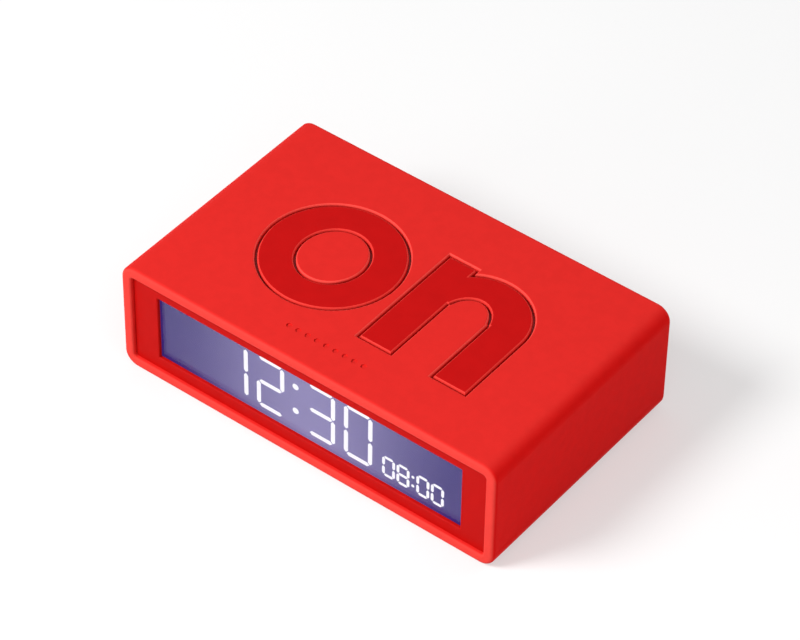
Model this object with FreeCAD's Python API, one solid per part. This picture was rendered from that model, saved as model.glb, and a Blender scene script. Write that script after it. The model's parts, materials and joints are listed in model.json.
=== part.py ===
import FreeCAD, Part
import math
import os

# Flip-over alarm clock: a slab with a large "on" set into its top and an "off" set into its underside.
# Turning the slab over arms or silences the alarm, and a ball switch inside tells which face is up.
# X runs along the display, Y from the display to the back, Z up. The origin is the middle of the underside.
# Every length is in millimetres.

V = FreeCAD.Vector

# The slab
# Its height follows from the two cells that lie on top of each other.
BODY_WIDTH = 105.0
BODY_DEPTH = 65.0
EDGE_RADIUS = 3.7
RIM_ROUND = 1.0

# The soft skin, a sleeve whose lips hold the front bezel and the rear panel
SKIN_WALL = 1.4
LIP_WIDTH = 2.75
FRONT_RECESS = 1.05
BACK_RECESS = 1.5
LIP_CORNER = 1.0
LIP_ROUND = 0.6

# Clearances
FIT = 0.1
SLIDE_GAP = 0.2
RUN_SHARE = 0.45
SCREW_FIT = 0.04
PIN_FIT = 0.06
SAME_PLACE = 1e-6

# The words, as they are drawn before the groove round each letter is taken off
STEM = 9.25
X_HEIGHT = 33.4
OVERSHOOT = 0.6
LETTER_GAP = 3.0
O_COUNTER_WIDTH = 16.6
O_COUNTER_HEIGHT = 18.1
LETTER_N_WIDTH = 29.6
LETTER_N_HEAD_STEP = 1.4
LETTER_N_SHOULDER_SHIFT = 1.3
LETTER_N_SHOULDER_HEIGHT = 13.3
LETTER_N_ARCH_STROKE = 8.4
LETTER_N_COUNTER_RISE = 7.2
F_RISE = 12.6
F_HOOK_REACH = 15.0
F_HOOK_HEIGHT = 13.0
F_HOOK_STROKE = 8.2
F_TIP = 2.4
F_BAR_LEFT = 3.6
F_BAR_RIGHT = 14.8
F_BAR_STROKE = 7.2
F_GAP = 1.6
ON_LEFT = -34.3
ON_BASELINE = -17.5
OFF_BASELINE = -20.5
GROOVE = 0.6
LETTER_SINK = 0.1
LETTER_ROUND = 0.5
PEG_RADIUS = 1.2
PEG_SHORT = 0.3

# The row of dimples that marks the touch spot
DIMPLE_COUNT = 9
DIMPLE_PITCH = 2.6
DIMPLE_RADIUS = 0.7
DIMPLE_DEPTH = 0.3
TOUCH_FROM_FRONT = 8.1

# The chassis, split at mid height
CHASSIS_WALL = 1.6
LAP_HEIGHT = 1.2
BOSS_RADIUS = 2.75
BOSS_FROM_WALL = 4.4
FRONT_BOSS_FROM_BOARD = 8.3
REAR_BOSS_FROM_BAY = 5.3
CHASSIS_SCREW_RADIUS = 1.1
CHASSIS_SCREW_LENGTH = 13.0
SCREW_HEAD_RADIUS = 2.0
SCREW_HEAD_HEIGHT = 1.4
HEAD_DEPTH = 5.0
STOP_RIB_THICK = 1.5
STOP_RIB_REACH = 1.5
STOP_RIB_HEIGHT = 8.0
TRAY_RIB_HEIGHT = 2.0
TRAY_RIB_WIDTH = 3.0

# Snap tabs of the bezel and the rear panel
TAB_THICK = 1.2
TAB_WIDTH = 5.0
TAB_LENGTH = 4.6
BARB_REACH = 0.8
BARB_LENGTH = 1.4

# The display
BEZEL_THICK = 2.45
WINDOW_FROM_SIDE = 9.75
WINDOW_FROM_TOP = 5.9
WINDOW_LEDGE = 0.85
LEDGE_GAP = 0.05
WINDOW_CHAMFER = 0.2
LENS_THICK = 0.95
LENS_MARGIN_X = 0.65
LENS_MARGIN_Z = 0.8
LENS_GAP = 0.2
LCD_THICK = 2.0
GUIDE_THICK = 3.4
REFLECTOR_THICK = 0.3
STRIP_THICK = 1.5
STRIP_END_GAP = 6.0
BOARD_THICK = 1.6
BOARD_SIDE_GAP = 0.8
HOLDER_WALL = 1.2
HOLDER_FRONT_GAP = 0.2
HOLDER_END_GAP = 0.5
HOLDER_SIDE_GAP = 1.1
LUG_RADIUS = 1.7
LUG_FROM_EDGE = 3.0
SMALL_SCREW_RADIUS = 0.9
SMALL_SCREW_LENGTH = 4.5
SMALL_HEAD_RADIUS = 1.6
SMALL_HEAD_HEIGHT = 1.2
LAMP_THICK = 1.2
LAMP_HEIGHT = 2.4
LAMP_SPREAD = 5.0

# The digits: centre lines of the strokes, measured on the display
SEGMENT_THICK = 0.05
SEGMENT_GAP = 0.35
DIGITS_DROP = 0.15
BIG_DIGIT_WIDTH = 6.75
BIG_DIGIT_HEIGHT = 14.5
BIG_STROKE = 1.15
BIG_PITCH = 10.4
COLON_X = -4.2
COLON_SPREAD = 3.7
COLON_RISE = 0.5
COLON_RADIUS = 0.85
HOUR_FROM_COLON = 3.8
SMALL_DIGIT_WIDTH = 2.8
SMALL_DIGIT_HEIGHT = 5.4
SMALL_STROKE = 0.75
SMALL_PITCH = 4.0
SMALL_FIRST_X = 20.5
SMALL_COLON_PAIR_GAP = 5.45
SMALL_COLON_RADIUS = 0.4
TIME_SHOWN = "12:30"
ALARM_SHOWN = "08:00"

# Parts on the main board
BLOB_RADIUS = 6.0
BLOB_HEIGHT = 1.5
BLOB_X = -12.0
CRYSTAL_RADIUS = 1.0
CRYSTAL_LENGTH = 6.0
CRYSTAL_X = 6.0
CAPACITOR_RADIUS = 2.0
CAPACITOR_HEIGHT = 5.0
CAPACITOR_X = (-32.0, -26.0, 10.5)
TILT_FROM_BUZZER = 8.0
TILT_WALL = 0.5
TILT_PLUG = 1.2
TILT_PIN_RADIUS = 0.25
TILT_PIN_DROP = 1.2
BALL_RADIUS = 1.9
BALL_SIDE_GAP = 0.3
BALL_REST_GAP = 0.05
BALL_TRAVEL = 2.0

# Touch electrodes under the two faces
PAD_WIDTH = 30.0
PAD_THICK = 0.2
PAD_DEPTH = 15.0
PAD_FRONT_GAP = 0.8
LEAF_WIDTH = 3.0
LEAF_THICK = 0.25
LEAF_DROP = 3.2
LEAF_REACH = 3.4

# Buzzer on the chassis floor
BUZZER_FROM_SIDE = 21.4
BUZZER_Y = 5.0
BUZZER_RADIUS = 10.0
BUZZER_RING_WALL = 1.2
BUZZER_RING_HEIGHT = 3.0
BUZZER_PLATE = 0.3
PIEZO_RADIUS = 7.0
PIEZO_THICK = 0.3

# Battery bay: two size AAA cells, one above the other
CELL_RADIUS = 5.25
CELL_LENGTH = 44.5
NUB_RADIUS = 1.9
NUB_LENGTH = 1.2
CELL_SPACE = 0.1
CELL_DEPTH_GAP = 0.2
BAY_WALL = 0.8
BAY_END_WALL = 1.4
BAY_FLOOR = 1.0
BAY_SIDE_GAP = 1.8
BAY_ROOM_GAP = 0.2
BAY_RIM_GAP = 0.05
CONTACT_THICK = 0.4
CONTACT_MARGIN = 0.8
CONTACT_TAIL = 3.2
CONTACT_TAIL_WIDTH = 2.0
SPRING_LENGTH = 4.6
SPRING_WIRE = 0.3
SPRING_TURNS = 4
SPRING_WIDE = 3.6
SPRING_NARROW = 2.2
NUB_GAP = 0.15

# Rear panel and battery door
REAR_THICK = 2.0
DOOR_EDGE_GAP = 0.2
HINGE_PIN_RADIUS = 0.5
HINGE_PIN_LENGTH = 1.0
TONGUE_THICK = 1.0
TONGUE_WIDTH = 6.0
THUMB_RIB_COUNT = 4
THUMB_RIB_PITCH = 1.6
THUMB_RIB_WIDTH = 0.8
THUMB_RIB_DEPTH = 0.5
THUMB_RIB_LENGTH = 9.0
THUMB_FROM_END = 4.0

# Setting buttons
BUTTON_NAMES = ("alarm", "time", "minus", "plus")
BUTTON_LIFT = 2.5
BUTTON_RADIUS = 2.8
BUTTON_PROUD = 0.7
BUTTON_ROUND = 0.5
BUTTON_HOLE_GAP = 0.2
BUTTON_FLANGE_RADIUS = 3.6
BUTTON_FLANGE = 0.8
BUTTON_STEM_RADIUS = 1.5
BUTTON_TRAVEL = 0.5
SWITCH_SIZE = 4.5
SWITCH_HEIGHT = 2.8
PLUNGER_RADIUS = 0.95
PLUNGER_BORE_GAP = 0.15
PLUNGER_PROUD = 1.7
PLUNGER_LENGTH = 2.8
BUTTON_BOARD_THICK = 1.2
BUTTON_BOARD_HEIGHT = 9.0
BUTTON_BOARD_DEPTH = 7.0
BUTTON_BOARD_BAY_GAP = 0.6
BUTTON_BOARD_TAB_GAP = 0.5
POST_RADIUS = 1.8
POST_MARGIN = 1.6
SOUND_HOLE_COUNT = 6
SOUND_HOLE_PITCH = 2.6
SOUND_HOLE_RADIUS = 0.6
SOUND_ROW_DROP = 7.0

# Wires
WIRE_RADIUS = 0.6
LEAD_X = 0.0
LEAD_FROM_MIDDLE = 3.9
BUZZER_LEAD_GAP = 4.0
BUZZER_LEAD_RISE = 7.5
BUZZER_LEAD_ARCH = 2.5
RIBBON_WIDTH = 8.0
RIBBON_THICK = 0.5
RIBBON_FROM_WALL = 8.0
RIBBON_ARCH = 3.0

# Places that follow from the sizes above
BAY_HALF_H = 2 * CELL_RADIUS + 3 * CELL_SPACE + FIT
SIDE_LAYERS = BAY_WALL + BAY_ROOM_GAP + CHASSIS_WALL + FIT + SKIN_WALL
BODY_HEIGHT = 2 * (BAY_HALF_H + SIDE_LAYERS)
HALF_W = BODY_WIDTH / 2
HALF_D = BODY_DEPTH / 2
MID_Z = BODY_HEIGHT / 2
CORE_W = BODY_WIDTH - 2 * (SKIN_WALL + FIT)
CORE_H = BODY_HEIGHT - 2 * (SKIN_WALL + FIT)
CORE_RADIUS = EDGE_RADIUS - SKIN_WALL - FIT
CORE_LOW = MID_Z - CORE_H / 2
CORE_HIGH = MID_Z + CORE_H / 2
ROOM_HALF = CORE_W / 2 - CHASSIS_WALL
ROOM_LOW = CORE_LOW + CHASSIS_WALL
ROOM_HIGH = CORE_HIGH - CHASSIS_WALL
BUZZER_X = ROOM_HALF - BUZZER_FROM_SIDE
TILT_X = BUZZER_X + TILT_FROM_BUZZER
BEZEL_FRONT = -HALF_D + FRONT_RECESS
BEZEL_BACK = BEZEL_FRONT + BEZEL_THICK
PANEL_FACE = HALF_D - BACK_RECESS
PANEL_BACK = PANEL_FACE - REAR_THICK
CHASSIS_FRONT = BEZEL_BACK + FIT
CHASSIS_REAR = PANEL_BACK - FIT
TOUCH_Y = -HALF_D + TOUCH_FROM_FRONT
TAB_INNER = ROOM_HALF - SLIDE_GAP - TAB_THICK

WINDOW_HALF_W = HALF_W - WINDOW_FROM_SIDE
WINDOW_HALF_H = MID_Z - WINDOW_FROM_TOP
LENS_HALF_W = WINDOW_HALF_W + LENS_MARGIN_X
LENS_HALF_H = WINDOW_HALF_H + LENS_MARGIN_Z
LENS_FRONT = BEZEL_FRONT + WINDOW_LEDGE + LEDGE_GAP
LENS_BACK = LENS_FRONT + LENS_THICK
HOLDER_HALF_W = ROOM_HALF - HOLDER_SIDE_GAP - 2 * LUG_RADIUS + FIT
HOLDER_HALF_H = MID_Z - ROOM_LOW - HOLDER_END_GAP
LUG_X = HOLDER_HALF_W + LUG_RADIUS - FIT
LUG_DZ = HOLDER_HALF_H - LUG_FROM_EDGE
LCD_HALF_W = HOLDER_HALF_W - HOLDER_WALL - SLIDE_GAP
LCD_HALF_H = HOLDER_HALF_H - HOLDER_WALL - SLIDE_GAP
LCD_FRONT = LENS_BACK + LENS_GAP
LCD_BACK = LCD_FRONT + LCD_THICK
POCKET_HALF_W = max(LCD_HALF_W, LENS_HALF_W) + SLIDE_GAP
POCKET_HALF_H = max(LCD_HALF_H, LENS_HALF_H) + SLIDE_GAP
STRIP_HALF_H = LCD_HALF_H - FIT
GUIDE_HALF_W = LCD_HALF_W - LAMP_THICK - FIT
GUIDE_HALF_H = STRIP_HALF_H - STRIP_THICK - FIT
GUIDE_BACK = LCD_BACK + FIT + GUIDE_THICK
BOARD_FRONT = GUIDE_BACK + REFLECTOR_THICK + 2 * FIT
BOARD_BACK = BOARD_FRONT + BOARD_THICK
BOARD_HALF_W = ROOM_HALF - BOARD_SIDE_GAP

BAY_LEFT = -ROOM_HALF + BAY_SIDE_GAP
BAY_IN_LEFT = BAY_LEFT + BAY_END_WALL
BAY_IN_RIGHT = BAY_IN_LEFT + 2 * CONTACT_THICK + SPRING_LENGTH + CELL_LENGTH + 2 * NUB_GAP
BAY_RIGHT = BAY_IN_RIGHT + BAY_END_WALL
BAY_RIM = PANEL_BACK - BAY_RIM_GAP
DOOR_BACK = PANEL_BACK + FIT
CELL_Z = CELL_RADIUS + CELL_SPACE
CELL_Y = DOOR_BACK - 3 * CELL_DEPTH_GAP - CELL_RADIUS
CONTACT_TOP = CELL_Y + CELL_RADIUS - 2 * CONTACT_MARGIN
BAY_IN_FLOOR = CELL_Y - CELL_RADIUS - CELL_DEPTH_GAP
BAY_FRONT = BAY_IN_FLOOR - BAY_FLOOR

HINGE_RADIUS = REAR_THICK / 2
HINGE_X = BAY_IN_RIGHT + 0.3 * BAY_END_WALL
HINGE_Y = PANEL_FACE - HINGE_RADIUS
DOOR_LEFT = BAY_LEFT + DOOR_EDGE_GAP
DOOR_HALF_H = BAY_HALF_H - DOOR_EDGE_GAP

BOSS_X = ROOM_HALF - BOSS_FROM_WALL
FRONT_BOSS_Y = BOARD_BACK + FRONT_BOSS_FROM_BOARD
REAR_BOSS_Y = BAY_FRONT - REAR_BOSS_FROM_BAY
SCREW_SEAT_Z = CORE_LOW + HEAD_DEPTH
TILT_BORE = BALL_RADIUS + BALL_SIDE_GAP
TILT_RADIUS = TILT_BORE + TILT_WALL

BUTTON_Z = MID_Z + BUTTON_LIFT
SOUND_ROW_Z = MID_Z - SOUND_ROW_DROP
BUTTON_BOARD_X = (BAY_RIGHT + BUTTON_BOARD_BAY_GAP, TAB_INNER - BUTTON_BOARD_TAB_GAP)
POST_X = (BUTTON_BOARD_X[0] + POST_MARGIN, BUTTON_BOARD_X[1] - POST_MARGIN)
BUTTON_PITCH = (POST_X[1] - POST_X[0]) / (len(BUTTON_NAMES) + 0.5)
BUTTON_X = [POST_X[0] + (i + 0.75) * BUTTON_PITCH for i in range(len(BUTTON_NAMES))]
BUTTON_BOARD_Y = PANEL_BACK - BUTTON_BOARD_DEPTH
SWITCH_TOP = BUTTON_BOARD_Y + SWITCH_HEIGHT
PLUNGER_TIP = SWITCH_TOP + PLUNGER_PROUD

ON_NAMES = ("on_letter_o", "on_letter_n")
OFF_NAMES = ("off_letter_o", "off_first_f", "off_second_f")

parts = {}


def block(x0, x1, y0, y1, z0, z1):
    """A rectangular solid between the given limits."""
    return Part.makeBox(x1 - x0, y1 - y0, z1 - z0, V(x0, y0, z0))


def side_block(side, inner, outer, y0, y1, z0, z1):
    """A block on the right for side 1, or on the left for side -1, between two distances from the middle."""
    x0, x1 = sorted((side * inner, side * outer))
    return block(x0, x1, y0, y1, z0, z1)


def rod(radius, start, end):
    """A round rod from one point to another."""
    along = end - start
    return Part.makeCylinder(radius, along.Length, start, along)


def rims(shape):
    """The circular edges of a shape."""
    return [edge for edge in shape.Edges if edge.Curve.TypeId == "Part::GeomCircle"]


def edges_in(shape, low, high, slack=1e-4):
    """The edges of a shape that lie wholly inside the box from low to high."""
    found = []
    for edge in shape.Edges:
        b = edge.BoundBox
        inside_low = b.XMin > low[0] - slack and b.YMin > low[1] - slack and b.ZMin > low[2] - slack
        inside_high = b.XMax < high[0] + slack and b.YMax < high[1] + slack and b.ZMax < high[2] + slack
        if inside_low and inside_high:
            found.append(edge)
    return found


def slab_block(width, height, radius, y0, y1):
    """A block along Y, centred on the slab's middle height, with its four long edges rounded."""
    plain = block(-width / 2, width / 2, y0, y1, MID_Z - height / 2, MID_Z + height / 2)
    long_edges = [e for e in plain.Edges if abs(e.BoundBox.YLength - (y1 - y0)) < SAME_PLACE]
    return plain.makeFillet(radius, long_edges)


def ellipse_prism(cx, cy, a, b, z0, z1):
    """An upright prism on an ellipse with half width a and half height b."""
    centre = V(cx, cy, z0)
    if abs(a - b) < SAME_PLACE:
        curve = Part.Circle(centre, V(0, 0, 1), a)
    elif a > b:
        curve = Part.Ellipse(V(cx + a, cy, z0), V(cx, cy + b, z0), centre)
    else:
        curve = Part.Ellipse(V(cx, cy + b, z0), V(cx - a, cy, z0), centre)
    return Part.Face(Part.Wire(curve.toShape())).extrude(V(0, 0, z1 - z0))


def extruded(points, direction):
    """A prism on the flat outline through the points."""
    return Part.Face(Part.makePolygon(points + [points[0]])).extrude(direction)


def mirrored_x(shape):
    """The shape's mirror image across the slab's middle plane."""
    return shape.mirror(V(0, 0, 0), V(1, 0, 0))


def joined(solids):
    """One solid from several that overlap or touch."""
    return solids[0].multiFuse(solids[1:]).removeSplitter()


# Letters. Each is drawn from its own left edge on its baseline, and grow moves every edge outwards.

def letter_o(left, base, z0, z1, grow):
    """A round o whose counter is a little narrower than it is high."""
    radius = X_HEIGHT / 2 + OVERSHOOT
    cx, cy = left + radius, base + X_HEIGHT / 2
    outer = ellipse_prism(cx, cy, radius + grow, radius + grow, z0, z1)
    counter = ellipse_prism(cx, cy, O_COUNTER_WIDTH / 2 - grow, O_COUNTER_HEIGHT / 2 - grow, z0, z1)
    return outer.cut(counter)


def letter_n(left, base, z0, z1, grow):
    """A stem with a narrower head, a shoulder that is a half ellipse, and a right leg."""
    top = base + X_HEIGHT + OVERSHOOT
    right = left + LETTER_N_WIDTH
    counter_a = LETTER_N_WIDTH / 2 - STEM
    counter_x, counter_y = left + LETTER_N_WIDTH / 2, top - LETTER_N_ARCH_STROKE - LETTER_N_COUNTER_RISE
    shoulder_x, shoulder_y = counter_x + LETTER_N_SHOULDER_SHIFT, top - LETTER_N_SHOULDER_HEIGHT
    shoulder_a = right - shoulder_x
    low = base - grow
    stem = block(left - grow, left + STEM + grow, low, shoulder_y, z0, z1)
    head_right = left + STEM - LETTER_N_HEAD_STEP
    head = block(left - grow, head_right + grow, low, base + X_HEIGHT + grow, z0, z1)
    shoulder = ellipse_prism(
        shoulder_x, shoulder_y, shoulder_a + grow, LETTER_N_SHOULDER_HEIGHT + grow, z0, z1
    )
    upper_half = block(left, right + 2 * abs(grow), shoulder_y, top + 2 * abs(grow), z0, z1)
    leg = block(right - STEM - grow, right + grow, low, shoulder_y, z0, z1)
    counter = ellipse_prism(counter_x, counter_y, counter_a - grow, LETTER_N_COUNTER_RISE - grow, z0, z1)
    between = block(
        counter_x - counter_a + grow, counter_x + counter_a - grow, low - STEM, counter_y, z0, z1
    )
    solid = joined([stem, head, shoulder.common(upper_half), leg])
    return solid.cut([counter, between]).removeSplitter()


def letter_f(left, base, z0, z1, grow):
    """A stem that rises above the o to a hook, a quarter of an elliptical ring, with a crossbar at the o's height."""
    top = base + X_HEIGHT + F_RISE
    hook_x, hook_y = left + F_HOOK_REACH, top - F_HOOK_HEIGHT
    stem = block(left - grow, left + STEM + grow, base - grow, hook_y, z0, z1)
    outer = ellipse_prism(hook_x, hook_y, F_HOOK_REACH + grow, F_HOOK_HEIGHT + grow, z0, z1)
    inner = ellipse_prism(
        hook_x, hook_y, F_HOOK_REACH - STEM - grow, F_HOOK_HEIGHT - F_HOOK_STROKE - grow, z0, z1
    )
    quarter = block(left - 2 * abs(grow), hook_x, hook_y, top + 2 * abs(grow), z0, z1)
    tip = block(hook_x, hook_x + F_TIP + grow, top - F_HOOK_STROKE - grow, top + grow, z0, z1)
    bar_x0, bar_x1 = left - F_BAR_LEFT - grow, left + F_BAR_RIGHT + grow
    bar_top = base + X_HEIGHT
    bar = block(bar_x0, bar_x1, bar_top - F_BAR_STROKE - grow, bar_top + grow, z0, z1)
    return joined([stem, outer.common(quarter).cut(inner), tip, bar])


def on_word(z0, z1, grow):
    """The letters of the upper face, as separate solids."""
    n_left = ON_LEFT + X_HEIGHT + 2 * OVERSHOOT + LETTER_GAP
    return [letter_o(ON_LEFT, ON_BASELINE, z0, z1, grow), letter_n(n_left, ON_BASELINE, z0, z1, grow)]


def off_places():
    """Left edges of the stems and bowl of the underside's word, centred on the slab."""
    o_width = X_HEIGHT + 2 * OVERSHOOT
    f_width = F_BAR_LEFT + F_HOOK_REACH + F_TIP
    o_left = -(o_width + LETTER_GAP + 2 * f_width + F_GAP) / 2
    first_f = o_left + o_width + LETTER_GAP + F_BAR_LEFT
    return o_left, first_f, first_f + f_width + F_GAP


def off_word(z0, z1, grow):
    """The letters of the underside, mirrored so that they read true when the clock is turned over."""
    o_left, first_f, second_f = off_places()
    letters = [
        letter_o(o_left, OFF_BASELINE, z0, z1, grow),
        letter_f(first_f, OFF_BASELINE, z0, z1, grow),
        letter_f(second_f, OFF_BASELINE, z0, z1, grow),
    ]
    return [mirrored_x(letter) for letter in letters]


def o_pegs(left, base):
    """Four peg places round the bowl of an o."""
    radius = X_HEIGHT / 2 + OVERSHOOT
    ring = (radius + (O_COUNTER_WIDTH + O_COUNTER_HEIGHT) / 4) / 2
    step = ring * math.sqrt(0.5)
    cx, cy = left + radius, base + X_HEIGHT / 2
    return [(cx + sx * step, cy + sy * step) for sx in (-1, 1) for sy in (-1, 1)]


def on_pegs():
    """Peg places of the upper word."""
    n_left = ON_LEFT + X_HEIGHT + 2 * OVERSHOOT + LETTER_GAP
    foot = ON_BASELINE + STEM / 2
    head = ON_BASELINE + X_HEIGHT - STEM / 2
    n_right = n_left + LETTER_N_WIDTH
    n_places = [(n_left + STEM / 2, foot), (n_left + STEM / 2, head), (n_right - STEM / 2, foot)]
    return o_pegs(ON_LEFT, ON_BASELINE) + n_places


def off_pegs():
    """Peg places of the lower word, mirrored with it."""
    o_left, first_f, second_f = off_places()
    foot = OFF_BASELINE + STEM / 2
    bar = OFF_BASELINE + X_HEIGHT - F_BAR_STROKE / 2
    places = o_pegs(o_left, OFF_BASELINE)
    for stem_left in (first_f, second_f):
        places += [(stem_left + STEM / 2, foot), (stem_left + STEM / 2, bar)]
    return [(-x, y) for x, y in places]


def letter_inlays(word, pegs, seat_z, face_z):
    """Letters that stand on the chassis at seat_z, end at face_z and have pegs into the chassis wall."""
    z0, z1 = min(seat_z, face_z), max(seat_z, face_z)
    letters = []
    for letter in word(z0, z1, -GROOVE / 2):
        face_edges = edges_in(letter, (-HALF_W, -HALF_D, face_z), (HALF_W, HALF_D, face_z))
        letters.append(letter.makeFillet(LETTER_ROUND, face_edges))
    inward = math.copysign(CHASSIS_WALL - PEG_SHORT, seat_z - face_z)
    inlays = []
    for letter in letters:
        b = letter.BoundBox
        own = [p for p in pegs if b.XMin < p[0] < b.XMax and b.YMin < p[1] < b.YMax]
        rods = [rod(PEG_RADIUS, V(x, y, seat_z), V(x, y, seat_z + inward)) for x, y in own]
        inlays.append(joined([letter] + rods))
    return inlays


def soft_skin():
    """The sleeve, with a lip at each end, a window for each letter and the touch dimples.

    The windows of the two round letters leave a loose centre each, so the result is three solids.
    """
    opening_w = BODY_WIDTH - 2 * LIP_WIDTH
    opening_h = BODY_HEIGHT - 2 * LIP_WIDTH
    outer = slab_block(BODY_WIDTH, BODY_HEIGHT, EDGE_RADIUS, -HALF_D, HALF_D)
    ends = [e for e in outer.Edges if e.BoundBox.YLength < SAME_PLACE]
    outer = outer.makeFillet(RIM_ROUND, ends)
    cavity_w, cavity_h = BODY_WIDTH - 2 * SKIN_WALL, BODY_HEIGHT - 2 * SKIN_WALL
    cavity = slab_block(cavity_w, cavity_h, EDGE_RADIUS - SKIN_WALL, BEZEL_FRONT, PANEL_FACE)
    opening = slab_block(opening_w, opening_h, LIP_CORNER, -HALF_D, HALF_D)
    skin = outer.cut([cavity, opening])
    lips = []
    for y in (-HALF_D, HALF_D):
        lips += edges_in(
            skin, (-opening_w / 2, y, MID_Z - opening_h / 2), (opening_w / 2, y, MID_Z + opening_h / 2)
        )
    skin = skin.makeFillet(LIP_ROUND, lips)
    skin = skin.cut(on_word(BODY_HEIGHT - SKIN_WALL, BODY_HEIGHT, GROOVE / 2))
    skin = skin.cut(off_word(0, SKIN_WALL, GROOVE / 2))
    flat_w, flat_d = HALF_W - EDGE_RADIUS - LIP_ROUND, HALF_D - RIM_ROUND - LIP_ROUND
    windows = []
    for z in (0, BODY_HEIGHT):
        windows += edges_in(skin, (-flat_w, -flat_d, z), (flat_w, flat_d, z))
    skin = skin.makeFillet(LETTER_ROUND, windows)
    dimples = []
    for i in range(DIMPLE_COUNT):
        x = (i - (DIMPLE_COUNT - 1) / 2) * DIMPLE_PITCH
        for z, inward in ((0, 1), (BODY_HEIGHT, -1)):
            dimples.append(rod(DIMPLE_RADIUS, V(x, TOUCH_Y, z), V(x, TOUCH_Y, z + inward * DIMPLE_DEPTH)))
    return skin.cut(dimples)


# Chassis

def boss_places():
    """Middles of the four screw bosses."""
    return [(sx * BOSS_X, y) for sx in (-1, 1) for y in (FRONT_BOSS_Y, REAR_BOSS_Y)]


def tab_slots(y_start, inward):
    """Room in the side walls for the barbs of one end plate. inward is 1 at the front and -1 at the rear."""
    near = y_start + inward * (TAB_LENGTH - BARB_LENGTH - SLIDE_GAP)
    far = y_start + inward * (TAB_LENGTH + SLIDE_GAP)
    y0, y1 = sorted((near, far))
    half = TAB_WIDTH / 2 + SLIDE_GAP
    inner, outer = ROOM_HALF - FIT, ROOM_HALF + BARB_REACH
    return [side_block(side, inner, outer, y0, y1, MID_Z - half, MID_Z + half) for side in (-1, 1)]


def whole_chassis():
    """Both halves of the chassis before they are parted: a tube open at the front and the rear."""
    tube = slab_block(CORE_W, CORE_H, CORE_RADIUS, CHASSIS_FRONT, CHASSIS_REAR)
    tube = tube.cut(block(-ROOM_HALF, ROOM_HALF, CHASSIS_FRONT, CHASSIS_REAR, ROOM_LOW, ROOM_HIGH))
    added = [rod(BOSS_RADIUS, V(x, y, CORE_LOW + FIT), V(x, y, CORE_HIGH - FIT)) for x, y in boss_places()]
    half = CHASSIS_WALL / 2
    board_stop = BOARD_BACK + FIT
    for side in (-1, 1):
        for y in (FRONT_BOSS_Y, REAR_BOSS_Y):
            added.append(
                side_block(side, BOSS_X, ROOM_HALF + FIT, y - half, y + half, CORE_LOW + FIT, CORE_HIGH - FIT)
            )
        added.append(
            side_block(
                side,
                ROOM_HALF - STOP_RIB_REACH,
                ROOM_HALF + FIT,
                board_stop,
                board_stop + STOP_RIB_THICK,
                MID_Z - STOP_RIB_HEIGHT / 2,
                MID_Z + STOP_RIB_HEIGHT / 2,
            )
        )
    rib_y1 = BAY_FRONT - FIT
    rib_y0 = rib_y1 - STOP_RIB_THICK
    half = TRAY_RIB_WIDTH / 2
    floor_rib = (CORE_LOW + FIT, ROOM_LOW + TRAY_RIB_HEIGHT)
    roof_rib = (ROOM_HIGH - TRAY_RIB_HEIGHT, CORE_HIGH - FIT)
    for x in (BAY_LEFT + 2 * TRAY_RIB_WIDTH, BAY_RIGHT - 2 * TRAY_RIB_WIDTH):
        for z0, z1 in (floor_rib, roof_rib):
            added.append(block(x - half, x + half, rib_y0, rib_y1, z0, z1))
    return joined([tube] + added)


def chassis_holes():
    """Screw holes, peg holes and barb slots."""
    holes = tab_slots(BEZEL_BACK, 1) + tab_slots(PANEL_BACK, -1)
    tip_z = SCREW_SEAT_Z + CHASSIS_SCREW_LENGTH + SLIDE_GAP
    for x, y in boss_places():
        holes.append(rod(SCREW_HEAD_RADIUS + SLIDE_GAP, V(x, y, CORE_LOW), V(x, y, SCREW_SEAT_Z)))
        holes.append(rod(CHASSIS_SCREW_RADIUS + SLIDE_GAP, V(x, y, SCREW_SEAT_Z), V(x, y, MID_Z)))
        holes.append(rod(CHASSIS_SCREW_RADIUS + SCREW_FIT, V(x, y, MID_Z), V(x, y, tip_z)))
    peg_hole = PEG_RADIUS + FIT
    holes += [rod(peg_hole, V(x, y, ROOM_HIGH), V(x, y, CORE_HIGH)) for x, y in on_pegs()]
    holes += [rod(peg_hole, V(x, y, CORE_LOW), V(x, y, ROOM_LOW)) for x, y in off_pegs()]
    return holes


def chassis_halves():
    """The lower half carries a tongue along each side wall, and the upper half a matching rebate."""
    whole = whole_chassis().cut(chassis_holes())
    far = BODY_WIDTH
    below = block(-far, far, -far, far, 0, MID_Z)
    above = block(-far, far, -far, far, MID_Z, BODY_HEIGHT)
    tongue_out = ROOM_HALF + CHASSIS_WALL / 2
    lap_top = MID_Z + LAP_HEIGHT
    sides = (-1, 1)
    tongues = [side_block(side, ROOM_HALF, tongue_out - FIT, -far, far, MID_Z, lap_top) for side in sides]
    rebates = [side_block(side, ROOM_HALF, tongue_out, -far, far, MID_Z, lap_top + FIT) for side in sides]
    lower = joined([whole.common(below)] + [piece for t in tongues for piece in whole.common(t).Solids])
    upper = whole.common(above).cut(rebates)
    return lower, upper


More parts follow.
